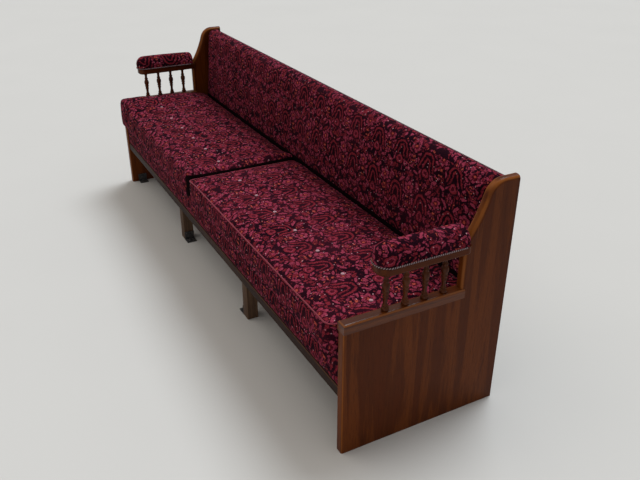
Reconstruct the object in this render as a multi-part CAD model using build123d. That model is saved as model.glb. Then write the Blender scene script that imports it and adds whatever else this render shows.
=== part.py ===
from build123d import *
import math
import os

# Longitudinal saloon bench of a narrow-gauge passenger coach.
# Millimetres. X runs along the bench, with the near end at +X. Y points from the
# cushions' front edge to the coach wall. Z is up, and the floor is Z = 0.
# The origin is the middle of the bench's footprint.

# Overall sizes
BENCH_LENGTH = 2410.0
SEAT_DEPTH = 500.0
BACK_DEPTH = 100.0
SEAT_HEIGHT = 450.0
CUSHION_JOINT_X = -51.0

# Running room and seats
CUSHION_SIDE_GAP = 8.5
CUSHION_JOINT_GAP = 6.0
CUSHION_BACK_GAP = 5.0
SOFT_SEAT_GAP = 0.3

# End boards: an L-shaped panel with a shouldered, sweeping front edge
BOARD_THICKNESS = 32.0
BOARD_RISE = 351.0
BOARD_TOP_FLAT = 48.0
SHOULDER_RADIUS = 62.0
SHOULDER_TURN = 73.0
TALL_PART_STEP = 74.0
BOARD_EDGE_ROUND = 13.0
PANEL_EDGE_ROUND = 6.0
PANEL_SETBACK = 25.0

# Rail that caps the low part of each end board
BASE_RAIL_RISE = 18.0
BASE_RAIL_HEIGHT = 30.0
BASE_RAIL_WIDTH = 38.0
BASE_RAIL_ROUND = 8.0

# Arm rests
ARM_RAIL_RISE = 146.0
ARM_RAIL_HEIGHT = 26.0
ARM_RAIL_WIDTH = 72.0
ARM_RAIL_NOSE = 30.0
ARM_RAIL_ROUND = 7.0
ARM_RAIL_SHOULDER = 19.0
ARM_PAD_TIP_SETBACK = 126.0
ARM_PAD_OVERHANG = 4.0
ARM_PAD_HEIGHT = 56.0
ARM_PAD_WIDTH = 86.0
ARM_PAD_NOSE = 42.0
ARM_PAD_ROUND = 38.0
ARM_PAD_HEEL_ROUND = 14.0

# Turned spindles under each arm rail
SPINDLE_COUNT = 4
SPINDLE_TIP_SETBACK = 38.0
SPINDLE_BOARD_SETBACK = 55.5
SPINDLE_DIAMETER = 24.0

# Seat cushions
CUSHION_HEIGHT = 98.0
CUSHION_CORNER = 34.0
CUSHION_ROUND = 14.0
CUSHION_LIFT = 120.0

# Back pad: an upright face that leans back into a rolled top
ROLL_RADIUS = 38.0
ROLL_RISE = 347.0

# Back frame
POST_DEPTH = 30.0
POST_WIDTH = 45.0
BACK_BOARD_THICKNESS = 8.0
TOP_RAIL_HEIGHT = 45.0
ROLL_TO_RAIL_DROP = 22.0
WALL_HOLE_HEIGHT = 200.0
WALL_HOLE_DIAMETER = 9.0

# Seat frame
RAIL_HEIGHT = 45.0
RAIL_WIDTH = 45.0
BAY_COUNT = 3
SLAT_COUNT = 5
SLAT_WIDTH = 70.0
SLAT_THICKNESS = 15.0

# Front apron
APRON_SETBACK = 31.0
APRON_COVER_THICKNESS = 8.0
APRON_BOARD_THICKNESS = 18.0
APRON_FOOT_HEIGHT = 227.0
APRON_TOP_GAP = 2.0
FOOT_RAIL_HEIGHT = 36.0
FOOT_RAIL_ROUND = 5.0

# Iron angle brackets that hold the bench to the floor
BRACKET_LEG = 40.0
BRACKET_THICKNESS = 5.0
BRACKET_HOLE_DIAMETER = 9.0

# Levels and lines worked out from the sizes above
BENCH_DEPTH = SEAT_DEPTH + BACK_DEPTH
Y_FRONT = -BENCH_DEPTH / 2
Y_WALL = BENCH_DEPTH / 2
Y_CREASE = Y_FRONT + SEAT_DEPTH
X_INNER = BENCH_LENGTH / 2 - BOARD_THICKNESS
Y_TALL_FRONT = Y_CREASE - TALL_PART_STEP
DECK_TOP = SEAT_HEIGHT - CUSHION_HEIGHT
RAIL_TOP = DECK_TOP - SLAT_THICKNESS
RAIL_FOOT = RAIL_TOP - RAIL_HEIGHT
Y_POST_FRONT = Y_WALL - POST_DEPTH
Y_PAD_BACK = Y_POST_FRONT - BACK_BOARD_THICKNESS
Y_APRON_FACE = Y_FRONT + APRON_SETBACK
Y_APRON_BOARD = Y_APRON_FACE + APRON_COVER_THICKNESS
Y_RAIL_FRONT = Y_APRON_BOARD + APRON_BOARD_THICKNESS
Y_REAR_RAIL = Y_POST_FRONT - RAIL_WIDTH
PANEL_TOP = SEAT_HEIGHT + BASE_RAIL_RISE - BASE_RAIL_HEIGHT
BASE_RAIL_TOP = SEAT_HEIGHT + BASE_RAIL_RISE
ARM_RAIL_FOOT = SEAT_HEIGHT + ARM_RAIL_RISE
ARM_RAIL_TOP = ARM_RAIL_FOOT + ARM_RAIL_HEIGHT
Y_PANEL_FRONT = Y_FRONT + PANEL_SETBACK
Y_PAD_TIP = Y_FRONT + ARM_PAD_TIP_SETBACK
Y_ARM_TIP = Y_PAD_TIP + ARM_PAD_OVERHANG
Y_FIRST_SPINDLE = Y_ARM_TIP + SPINDLE_TIP_SETBACK
Y_LAST_SPINDLE = Y_TALL_FRONT - SPINDLE_BOARD_SETBACK
SPINDLE_PITCH = (Y_LAST_SPINDLE - Y_FIRST_SPINDLE) / (SPINDLE_COUNT - 1)
ROLL_CENTRE_Y = Y_WALL - ROLL_RADIUS
ROLL_CENTRE_Z = SEAT_HEIGHT + ROLL_RISE - ROLL_RADIUS
TOP_RAIL_TOP = ROLL_CENTRE_Z - ROLL_TO_RAIL_DROP
TOP_RAIL_FOOT = TOP_RAIL_TOP - TOP_RAIL_HEIGHT
POST_SPAN = 2 * X_INNER - POST_WIDTH
POST_XS = [POST_SPAN * (i / BAY_COUNT - 0.5) for i in range(BAY_COUNT + 1)]
LEG_XS = POST_XS[1:-1]

# The two ends of the bench: name, sign of X
ENDS = [("near", 1), ("far", -1)]

# Turned outline of a spindle: share of its height, share of its full radius
SPINDLE_OUTLINE = [
    (0.00, 0.86),
    (0.06, 0.98),
    (0.09, 0.70),
    (0.14, 0.80),
    (0.17, 0.58),
    (0.30, 0.58),
    (0.42, 0.73),
    (0.54, 0.95),
    (0.62, 1.00),
    (0.69, 0.86),
    (0.72, 0.64),
    (0.76, 0.78),
    (0.79, 0.58),
    (0.88, 0.56),
    (0.94, 0.66),
    (0.96, 0.80),
    (1.00, 0.74),
]


def block(x0, x1, y0, y1, z0, z1):
    """Box between two corners."""
    low = Location((min(x0, x1), min(y0, y1), min(z0, z1)))
    size = (abs(x1 - x0), abs(y1 - y0), abs(z1 - z0))
    return low * Box(*size, align=(Align.MIN, Align.MIN, Align.MIN))


def along_x(profile, x0, x1):
    """Extrude a face drawn on the YZ plane from x0 to x1."""
    return Pos(min(x0, x1), 0, 0) * extrude(profile, amount=abs(x1 - x0), dir=(1, 0, 0))


def end_board_face():
    """Outline of an end board: low panel under the arm, tall shouldered back."""
    top = SEAT_HEIGHT + BOARD_RISE
    shoulder = (Y_WALL - BOARD_TOP_FLAT, top)
    sweep_foot = (Y_TALL_FRONT, ARM_RAIL_TOP)
    round_over = JernArc(shoulder, (-1, 0), SHOULDER_RADIUS, SHOULDER_TURN)
    sweep = TangentArc(round_over @ 1, sweep_foot, tangent=round_over % 1)
    rest = Polyline(
        sweep_foot,
        (Y_TALL_FRONT, PANEL_TOP),
        (Y_PANEL_FRONT, PANEL_TOP),
        (Y_PANEL_FRONT, 0),
        (Y_WALL, 0),
        (Y_WALL, top),
        shoulder,
    )
    return Plane.YZ * make_face([round_over, sweep, rest])


def end_board(side):
    """End board, rounded over up its tall front and along the top, eased on the low front."""
    x0 = side * X_INNER
    board = along_x(end_board_face(), x0, x0 + side * BOARD_THICKNESS)
    low_front = board.edges().filter_by(Axis.Z).sort_by(Axis.Y)[:2]
    board = fillet(low_front, PANEL_EDGE_ROUND)
    outline = [
        edge
        for edge in board.edges()
        if edge.bounding_box().size.X < 1
        and edge.center().Z > PANEL_TOP + 1
        and edge.center().Y < Y_WALL - 1
    ]
    return fillet(outline, BOARD_EDGE_ROUND)


def base_rail(side):
    """Rail on the low panel, with rounded upper edges, scribed to the board's tall front."""
    middle = side * (X_INNER + BOARD_THICKNESS / 2)
    half = BASE_RAIL_WIDTH / 2
    rear = Y_TALL_FRONT + BOARD_EDGE_ROUND
    rail = block(middle - half, middle + half, Y_PANEL_FRONT, rear, PANEL_TOP, BASE_RAIL_TOP)
    tops = rail.faces().sort_by(Axis.Z)[-1].edges()
    back = tops.sort_by(Axis.Y)[-1]
    rail = fillet([edge for edge in tops if edge != back], BASE_RAIL_ROUND)
    return rail - end_board(side)


def arm_rail(side):
    """Wooden rail of an arm rest with a rounded nose, its shoulders dying into the board."""
    middle = side * (X_INNER + BOARD_THICKNESS / 2)
    half = ARM_RAIL_WIDTH / 2
    rear = Y_TALL_FRONT + BOARD_EDGE_ROUND
    rail = block(middle - half, middle + half, Y_ARM_TIP, rear, ARM_RAIL_FOOT, ARM_RAIL_TOP)
    corners = rail.edges().filter_by(Axis.Z).sort_by(Axis.Y)
    rail = fillet(corners[:2], ARM_RAIL_NOSE)
    shoulders = rail.edges().filter_by(Axis.Z).sort_by(Axis.Y)[-2:]
    rail = fillet(shoulders, ARM_RAIL_SHOULDER)
    rail = fillet(rail.faces().sort_by(Axis.Z)[0].edges(), ARM_RAIL_ROUND)
    return rail - end_board(side)


def arm_pad(side):
    """Padded top of an arm rest: domed, round at the nose, soft where it meets the board."""
    middle = side * (X_INNER + BOARD_THICKNESS / 2)
    half = ARM_PAD_WIDTH / 2
    foot = ARM_RAIL_TOP + SOFT_SEAT_GAP
    heel = Y_TALL_FRONT - SOFT_SEAT_GAP
    pad = block(middle - half, middle + half, Y_PAD_TIP, heel, foot, ARM_RAIL_TOP + ARM_PAD_HEIGHT)
    nose = pad.edges().filter_by(Axis.Z).sort_by(Axis.Y)[:2]
    pad = fillet(nose, ARM_PAD_NOSE)
    top = pad.faces().sort_by(Axis.Z)[-1].edges()
    back = top.sort_by(Axis.Y)[-1]
    pad = fillet([edge for edge in top if edge != back], ARM_PAD_ROUND)
    arch = pad.faces().sort_by(Axis.Y)[-1].edges()
    foot_edge = arch.sort_by(Axis.Z)[0]
    return fillet([edge for edge in arch if edge != foot_edge], ARM_PAD_HEEL_ROUND)


def spindle(side, number):
    """One turned spindle between the base rail and the arm rail."""
    middle = side * (X_INNER + BOARD_THICKNESS / 2)
    y = Y_FIRST_SPINDLE + (number - 1) * SPINDLE_PITCH
    height = ARM_RAIL_FOOT - BASE_RAIL_TOP
    radius = SPINDLE_DIAMETER / 2
    outline = [(share * radius, level * height) for level, share in SPINDLE_OUTLINE]
    half = Polyline((0, 0), *outline, (0, height), (0, 0))
    turned = revolve(Plane.XZ * make_face(half), Axis.Z)
    return Pos(middle, y, BASE_RAIL_TOP) * turned


def cushion(x0, x1):
    """Loose seat cushion with round plan corners at the front and soft top edges."""
    body = block(x0, x1, Y_FRONT, Y_CREASE - CUSHION_BACK_GAP, DECK_TOP + SOFT_SEAT_GAP, SEAT_HEIGHT)
    corners = body.edges().filter_by(Axis.Z).sort_by(Axis.Y)[:2]
    body = fillet(corners, CUSHION_CORNER)
    return fillet(body.faces().sort_by(Axis.Z)[-1].edges(), CUSHION_ROUND)


def back_pad():
    """Long back pad: upright at the seat, leaning to a roll that laps the top rail."""
    foot = DECK_TOP + SOFT_SEAT_GAP
    start = (Y_CREASE, SEAT_HEIGHT)
    reach = math.hypot(ROLL_CENTRE_Y - start[0], ROLL_CENTRE_Z - start[1])
    bearing = math.atan2(ROLL_CENTRE_Z - start[1], ROLL_CENTRE_Y - start[0])
    angle = bearing + math.pi - math.acos(ROLL_RADIUS / reach)
    touch = (
        ROLL_CENTRE_Y + ROLL_RADIUS * math.cos(angle),
        ROLL_CENTRE_Z + ROLL_RADIUS * math.sin(angle),
    )
    crown = (ROLL_CENTRE_Y, ROLL_CENTRE_Z + ROLL_RADIUS)
    heel = (ROLL_CENTRE_Y + ROLL_RADIUS, ROLL_CENTRE_Z)
    lap = TOP_RAIL_TOP + SOFT_SEAT_GAP
    face = Polyline((Y_PAD_BACK, foot), (Y_CREASE, foot), start, touch)
    roll = ThreePointArc(touch, crown, heel)
    back = Polyline(heel, (heel[0], lap), (Y_PAD_BACK, lap), (Y_PAD_BACK, foot))
    reach_x = X_INNER - SOFT_SEAT_GAP
    return along_x(Plane.YZ * make_face([face, roll, back]), -reach_x, reach_x)


def back_post(x):
    """Upright at the wall from the floor to the top rail, drilled for a wall screw."""
    half = POST_WIDTH / 2
    post = block(x - half, x + half, Y_POST_FRONT, Y_WALL, 0, TOP_RAIL_FOOT)
    middle = (Y_POST_FRONT + Y_WALL) / 2
    hole = Pos(x, middle, WALL_HOLE_HEIGHT) * Rot(90, 0, 0) * Cylinder(WALL_HOLE_DIAMETER / 2, 2 * POST_DEPTH)
    return post - hole


def bearer(x):
    """Cross bearer between the front and rear rails of the seat."""
    half = POST_WIDTH / 2
    return block(x - half, x + half, Y_RAIL_FRONT + RAIL_WIDTH, Y_REAR_RAIL, RAIL_FOOT, RAIL_TOP)


def front_leg(x):
    """Square leg under the front rail."""
    half = POST_WIDTH / 2
    return block(x - half, x + half, Y_RAIL_FRONT, Y_RAIL_FRONT + RAIL_WIDTH, 0, RAIL_FOOT)


def slat(number):
    """One deck slat. They share the space from the apron board to the back board."""
    pitch = (Y_PAD_BACK - SLAT_WIDTH - Y_RAIL_FRONT) / (SLAT_COUNT - 1)
    y = Y_RAIL_FRONT + (number - 1) * pitch
    return block(-X_INNER, X_INNER, y, y + SLAT_WIDTH, RAIL_TOP, DECK_TOP)


def bracket(x, toward):
    """Iron angle against an upright face at x, its foot pointing to the sign toward."""
    y0 = Y_RAIL_FRONT
    y1 = Y_RAIL_FRONT + RAIL_WIDTH
    foot = block(x, x + toward * BRACKET_LEG, y0, y1, 0, BRACKET_THICKNESS)
    wall = block(x, x + toward * BRACKET_THICKNESS, y0, y1, 0, BRACKET_LEG)
    reach = (BRACKET_LEG + BRACKET_THICKNESS) / 2
    radius = BRACKET_HOLE_DIAMETER / 2
    middle = (y0 + y1) / 2
    floor_hole = Pos(x + toward * reach, middle, 0) * Cylinder(radius, 4 * BRACKET_THICKNESS)
    side_hole = Pos(x, middle, reach) * Rot(0, 90, 0) * Cylinder(radius, 4 * BRACKET_THICKNESS)
    return foot + wall - floor_hole - side_hole


def seat_frame_nodes():
    """Rails, bearers, slats, legs, posts and brackets of the frame."""
    nodes = {
        "seat_front_rail": block(
            -X_INNER, X_INNER, Y_RAIL_FRONT, Y_RAIL_FRONT + RAIL_WIDTH, RAIL_FOOT, RAIL_TOP
        ),
        "seat_rear_rail": block(-X_INNER, X_INNER, Y_REAR_RAIL, Y_POST_FRONT, RAIL_FOOT, RAIL_TOP),
        "back_top_rail": block(-X_INNER, X_INNER, Y_POST_FRONT, Y_WALL, TOP_RAIL_FOOT, TOP_RAIL_TOP),
        "back_board": block(-X_INNER, X_INNER, Y_PAD_BACK, Y_POST_FRONT, DECK_TOP, TOP_RAIL_TOP),
    }
    for number, x in enumerate(POST_XS, 1):
        nodes[f"back_post_{number}"] = back_post(x)
        nodes[f"seat_bearer_{number}"] = bearer(x)
    for number in range(1, SLAT_COUNT + 1):
        nodes[f"seat_slat_{number}"] = slat(number)
    for number, x in enumerate(LEG_XS, 1):
        toward = 1 if x < 0 else -1
        nodes[f"front_leg_{number}"] = front_leg(x)
        nodes[f"leg_bracket_{number}"] = bracket(x + toward * POST_WIDTH / 2, toward)
    for name, side in ENDS:
        nodes[f"end_bracket_{name}"] = bracket(side * X_INNER, -side)
    return nodes


def apron_nodes():
    """Apron board under the cushions, its cloth cover and the rail at its foot."""
    cover_top = DECK_TOP - APRON_TOP_GAP
    rail_foot = APRON_FOOT_HEIGHT - FOOT_RAIL_HEIGHT
    rail = block(-X_INNER, X_INNER, Y_APRON_FACE, Y_RAIL_FRONT, rail_foot, APRON_FOOT_HEIGHT)
    front = rail.edges().filter_by(Axis.X).sort_by(Axis.Y)[:2]
    return {
        "apron_board": block(
            -X_INNER, X_INNER, Y_APRON_BOARD, Y_RAIL_FRONT, APRON_FOOT_HEIGHT, DECK_TOP
        ),
        "apron_cover": block(
            -X_INNER, X_INNER, Y_APRON_FACE, Y_APRON_BOARD, APRON_FOOT_HEIGHT, cover_top
        ),
        "apron_foot_rail": fillet(front, FOOT_RAIL_ROUND),
    }


def end_nodes():
    """End boards with their rails, spindles and arm pads."""
    nodes = {}
    for name, side in ENDS:
        nodes[f"end_board_{name}"] = end_board(side)
        nodes[f"base_rail_{name}"] = base_rail(side)
        nodes[f"arm_rail_{name}"] = arm_rail(side)
        nodes[f"arm_pad_{name}"] = arm_pad(side)
        for number in range(1, SPINDLE_COUNT + 1):
            nodes[f"spindle_{name}_{number}"] = spindle(side, number)
    return nodes


def soft_nodes():
    """The two seat cushions and the back pad."""
    half_gap = CUSHION_JOINT_GAP / 2
    reach = X_INNER - CUSHION_SIDE_GAP
    return {
        "cushion_near": cushion(CUSHION_JOINT_X + half_gap, reach),
        "cushion_far": cushion(-reach, CUSHION_JOINT_X - half_gap),
        "back_pad": back_pad(),
    }


def build():
    """All nodes of the bench by name."""
    nodes = {}
    nodes.update(seat_frame_nodes())
    nodes.update(apron_nodes())
    nodes.update(end_nodes())
    nodes.update(soft_nodes())
    return nodes


os.makedirs("parts", exist_ok=True)
for node_name, solid in build().items():
    solid.label = node_name
    export_step(solid, f"parts/{node_name}.step")
print(f"lift of the cushions {CUSHION_LIFT:.0f} mm, board to board {2 * X_INNER:.0f} mm")
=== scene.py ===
"""Looks of a saloon bench: stuffed cushions, back pad, arm pads, turned spindles and wood."""
import logging
import math
from dataclasses import dataclass
from enum import Enum

import bmesh
import bpy
from mathutils import Matrix, Vector, noise


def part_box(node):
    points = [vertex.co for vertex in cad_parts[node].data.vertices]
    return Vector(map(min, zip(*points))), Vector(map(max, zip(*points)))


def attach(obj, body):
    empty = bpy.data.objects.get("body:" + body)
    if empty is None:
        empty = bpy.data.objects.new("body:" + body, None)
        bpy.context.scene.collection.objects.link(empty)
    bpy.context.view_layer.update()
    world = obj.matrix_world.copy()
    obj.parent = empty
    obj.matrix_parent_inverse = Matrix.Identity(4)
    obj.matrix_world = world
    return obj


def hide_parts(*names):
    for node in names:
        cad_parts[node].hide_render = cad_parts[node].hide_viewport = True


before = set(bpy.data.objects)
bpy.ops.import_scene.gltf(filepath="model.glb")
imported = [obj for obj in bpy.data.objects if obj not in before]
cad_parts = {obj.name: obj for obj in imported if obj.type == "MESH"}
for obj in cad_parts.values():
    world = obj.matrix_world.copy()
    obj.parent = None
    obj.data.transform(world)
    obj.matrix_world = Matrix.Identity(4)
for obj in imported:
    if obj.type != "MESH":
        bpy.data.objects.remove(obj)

log = logging.getLogger("bench")

Colour = tuple[float, float, float]
Material = bpy.types.Material
Mesh = bmesh.types.BMesh
Piece = bpy.types.Object

FRAME_BODY = "bench_frame"
CLOTH_MAP = "cloth"
ENDS = ("near", "far")
UP = Vector((0.0, 0.0, 1.0))
ALONG = Vector((1.0, 0.0, 0.0))
STILL = Vector((0.0, 0.0, 0.0))
SAME_POINT = 1e-6
WELD = 1e-5
NO_LENGTH = 1e-9
STEEP = 0.62


class Run(Enum):
    """Axis along which a board's grain or a cloth's width runs."""

    X = 0
    Y = 1
    Z = 2


class Slot(Enum):
    """Finish slot of a new piece."""

    MOQUETTE = "moquette"
    TURNED_WOOD = "turned_wood"
    FRAME_WOOD = "frame_wood"
    IRONWORK = "ironwork"


@dataclass(frozen=True)
class Cloud:
    """Noise from 0 to 1, used as patches under a level, lines at it or a shift about it."""

    scale: float
    level: float = 0.5
    soft: float = 0.0
    strength: float = 1.0
    detail: float = 2.0
    distortion: float = 0.0
    seed: float = 0.0


@dataclass(frozen=True)
class Term:
    """A number or vector that a node gives, with arithmetic on it."""

    graph: "Graph"
    socket: bpy.types.NodeSocket

    def __add__(self, other: "Term | float") -> "Term":
        """Sum; a number is added to each part of a vector.

        Args:
            other: What is added.

        Returns:
            The sum.
        """
        if self.socket.type == "VECTOR":
            shift = {0: self, 1: (other, other, other)}
            return self.graph.term("ShaderNodeVectorMath", 0, shift, operation="ADD")
        return self.graph.calc("ADD", self, other)

    def __sub__(self, other: "Term | float") -> "Term":
        """Difference."""
        return self.graph.calc("SUBTRACT", self, other)

    def __mul__(self, other: "Term | float") -> "Term":
        """Product."""
        return self.graph.calc("MULTIPLY", self, other)

    def __abs__(self) -> "Term":
        """Size without sign."""
        return self.graph.calc("ABSOLUTE", self)


Value = Term | float


class Graph:
    """One material's node tree, written as short expressions."""

    LINE_SOFTNESS = 0.45

    def __init__(self, name: str) -> None:
        """Start an empty tree in a new material.

        Args:
            name: Name of the material.
        """
        self.material = bpy.data.materials.new(name)
        self.material.use_nodes = True
        self.tree = self.material.node_tree
        self.tree.nodes.clear()
        self.clouds = {}

    def add(self, kind: str, inputs: dict | None = None, **settings: object) -> bpy.types.Node:
        """Add a node.

        Args:
            kind: Type of the node.
            inputs: Socket name or number, and its value or Term.
            **settings: Attributes of the node.

        Returns:
            The new node.
        """
        node = self.tree.nodes.new(kind)
        for key, value in settings.items():
            setattr(node, key, value)
        for key, value in (inputs or {}).items():
            socket = node.inputs[key]
            if isinstance(value, Term):
                self.tree.links.new(value.socket, socket)
            elif socket.type == "RGBA":
                socket.default_value = (*value, 1.0)
            else:
                socket.default_value = value
        return node

    def term(self, kind: str, output: str | int, inputs: dict | None = None, **settings: object) -> Term:
        """Add a node and take one of its outputs."""
        return Term(self, self.add(kind, inputs, **settings).outputs[output])

    def calc(self, operation: str, a: Value, b: Value = 0.0, c: Value = 0.0) -> Term:
        """Result of one operation of the Math node."""
        return self.term("ShaderNodeMath", 0, {0: a, 1: b, 2: c}, operation=operation)

    def length(self, a: Term, b: Term) -> Term:
        """Length of a vector with two parts."""
        return self.calc("SQRT", a * a + b * b)

    def wrap(self, value: Term, period: float) -> Term:
        """Signed distance of a value from the nearest multiple of a period."""
        return self.calc("WRAP", value, period / 2, -period / 2)

    def below(self, value: Term, edge: float, soft: float) -> Term:
        """Mask of the values under an edge.

        Args:
            value: Value that is tested.
            edge: The edge.
            soft: Width of the blur on each side of it.

        Returns:
            1 under the edge and 0 over it.
        """
        inputs = {"Value": value, "From Min": edge - soft, "From Max": edge + soft}
        inputs |= {"To Min": 1.0, "To Max": 0.0}
        return self.term("ShaderNodeMapRange", "Result", inputs, interpolation_type="SMOOTHSTEP")

    def mix(self, factor: Term, a: Term | Colour, b: Term | Colour) -> Term:
        """Blend of two colours, by the share of the second one."""
        return self.term("ShaderNodeMix", 2, {0: factor, 6: a, 7: b}, data_type="RGBA")

    def noise(self, where: Term, cloud: Cloud) -> Term:
        """Noise at a position, made once for each cloud.

        Args:
            where: Position.
            cloud: The noise's scale, detail, distortion and seed.

        Returns:
            The noise's value.
        """
        if (where, cloud) not in self.clouds:
            inputs = {
                "Vector": where + cloud.seed if cloud.seed else where,
                "Scale": cloud.scale,
                "Detail": cloud.detail,
                "Distortion": cloud.distortion,
            }
            self.clouds[where, cloud] = self.term("ShaderNodeTexNoise", "Fac", inputs)
        return self.clouds[where, cloud]

    def patches(self, where: Term, cloud: Cloud) -> Term:
        """Mask of the patches where a cloud is under its level."""
        return self.below(self.noise(where, cloud), cloud.level, cloud.soft) * cloud.strength

    def lines(self, where: Term, cloud: Cloud) -> Term:
        """Mask of the lines where a cloud is at its level."""
        gap = abs(self.noise(where, cloud) - cloud.level)
        return self.below(gap, cloud.soft, cloud.soft * self.LINE_SOFTNESS) * cloud.strength

    def sway(self, where: Term, cloud: Cloud) -> Term:
        """Shift by which a cloud moves a coordinate."""
        return (self.noise(where, cloud) - cloud.level) * cloud.strength

    def combine(self, x: Value, y: Value) -> Term:
        """Vector from two numbers."""
        return self.term("ShaderNodeCombineXYZ", 0, {"X": x, "Y": y})

    def specks(self, where: Term, scale: float, spread: str = "3D") -> tuple[Term, Term]:
        """Scattered points, a few to the metre.

        Args:
            where: Position.
            scale: Points per metre.
            spread: Whether the points fill space, 3D, or lie on the cloth, 2D.

        Returns:
            Distance from the nearest point in cells, and the cell's random value.
        """
        node = self.add("ShaderNodeTexVoronoi", {"Vector": where, "Scale": scale}, voronoi_dimensions=spread)
        split = self.add("ShaderNodeSeparateColor", {"Color": Term(self, node.outputs["Color"])})
        return Term(self, node.outputs["Distance"]), Term(self, split.outputs[0])

    def cells(self, where: Term, scale: float) -> tuple[Term, Term]:
        """Patches side by side.

        Args:
            where: Position.
            scale: Patches per metre.

        Returns:
            Distance from the nearest patch's rim in patches, and the patch's random value.
        """
        inputs = {"Vector": where, "Scale": scale}
        rim = self.term("ShaderNodeTexVoronoi", "Distance", inputs, feature="DISTANCE_TO_EDGE")
        return rim, self.specks(where, scale)[1]

    def place(self, stretch: tuple[float, float, float] = (1.0, 1.0, 1.0)) -> Term:
        """Object coordinates, scaled by axis."""
        source = self.term("ShaderNodeTexCoord", "Object")
        return self.term("ShaderNodeMapping", "Vector", {"Vector": source, "Scale": stretch})

    def cloth_place(self) -> tuple[Term, Term, Term]:
        """Cloth coordinates in metres.

        Returns:
            The vector, and its parts along the run and across it.
        """
        vector = self.term("ShaderNodeUVMap", "UV", uv_map=CLOTH_MAP)
        split = self.add("ShaderNodeSeparateXYZ", {"Vector": vector})
        return vector, Term(self, split.outputs["X"]), Term(self, split.outputs["Y"])

    def arris(self) -> Term:
        """How far a surface's normal is from every axis.

        Returns:
            0 on a flat face, and more on a rounded edge.
        """
        normal = self.term("ShaderNodeNewGeometry", "Normal")
        split = self.add("ShaderNodeSeparateXYZ", {"Vector": normal})
        x, y, z = (abs(Term(self, split.outputs[axis])) for axis in "XYZ")
        widest = self.calc("MAXIMUM", self.calc("MAXIMUM", x, y), z)
        return self.calc("SUBTRACT", 1.0, widest)

    def bump(self, height: Term, distance: float, below: Term | None = None) -> Term:
        """Bumped normal.

        Args:
            height: Height from 0 to 1.
            distance: Height of 1, in metres.
            below: Normal of a coarser bump.

        Returns:
            The normal.
        """
        inputs = {"Height": height, "Distance": distance, "Strength": 1.0}
        if below is not None:
            inputs["Normal"] = below
        return self.term("ShaderNodeBump", "Normal", inputs)

    def finish(self, inputs: dict) -> Material:
        """Close the tree with a surface shader.

        Args:
            inputs: Values of the shader's sockets.

        Returns:
            The material.
        """
        shader = self.term("ShaderNodeBsdfPrincipled", "BSDF", inputs)
        self.add("ShaderNodeOutputMaterial", {"Surface": shader})
        return self.material


@dataclass(frozen=True)
class Ring:
    """Band or disc of the cloth's figure: half its width, blur, colour and middle, in metres."""

    half: float
    soft: float
    colour: Colour
    middle: float = 0.0


@dataclass(frozen=True)
class Leaf:
    """Leaf or berry of the cloth's figure, from the middle of the repeat, in metres and degrees."""

    along: float
    across: float
    turn: float
    length: float
    width: float


@dataclass(frozen=True)
class Speckle:
    """Scattered tufts of another colour: how close, how big, how blurred and how rare."""

    scale: float
    radius: float
    soft: float
    colour: Colour
    seed: float = 0.0
    spread: str = "3D"
    rarity: float = 0.66


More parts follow.
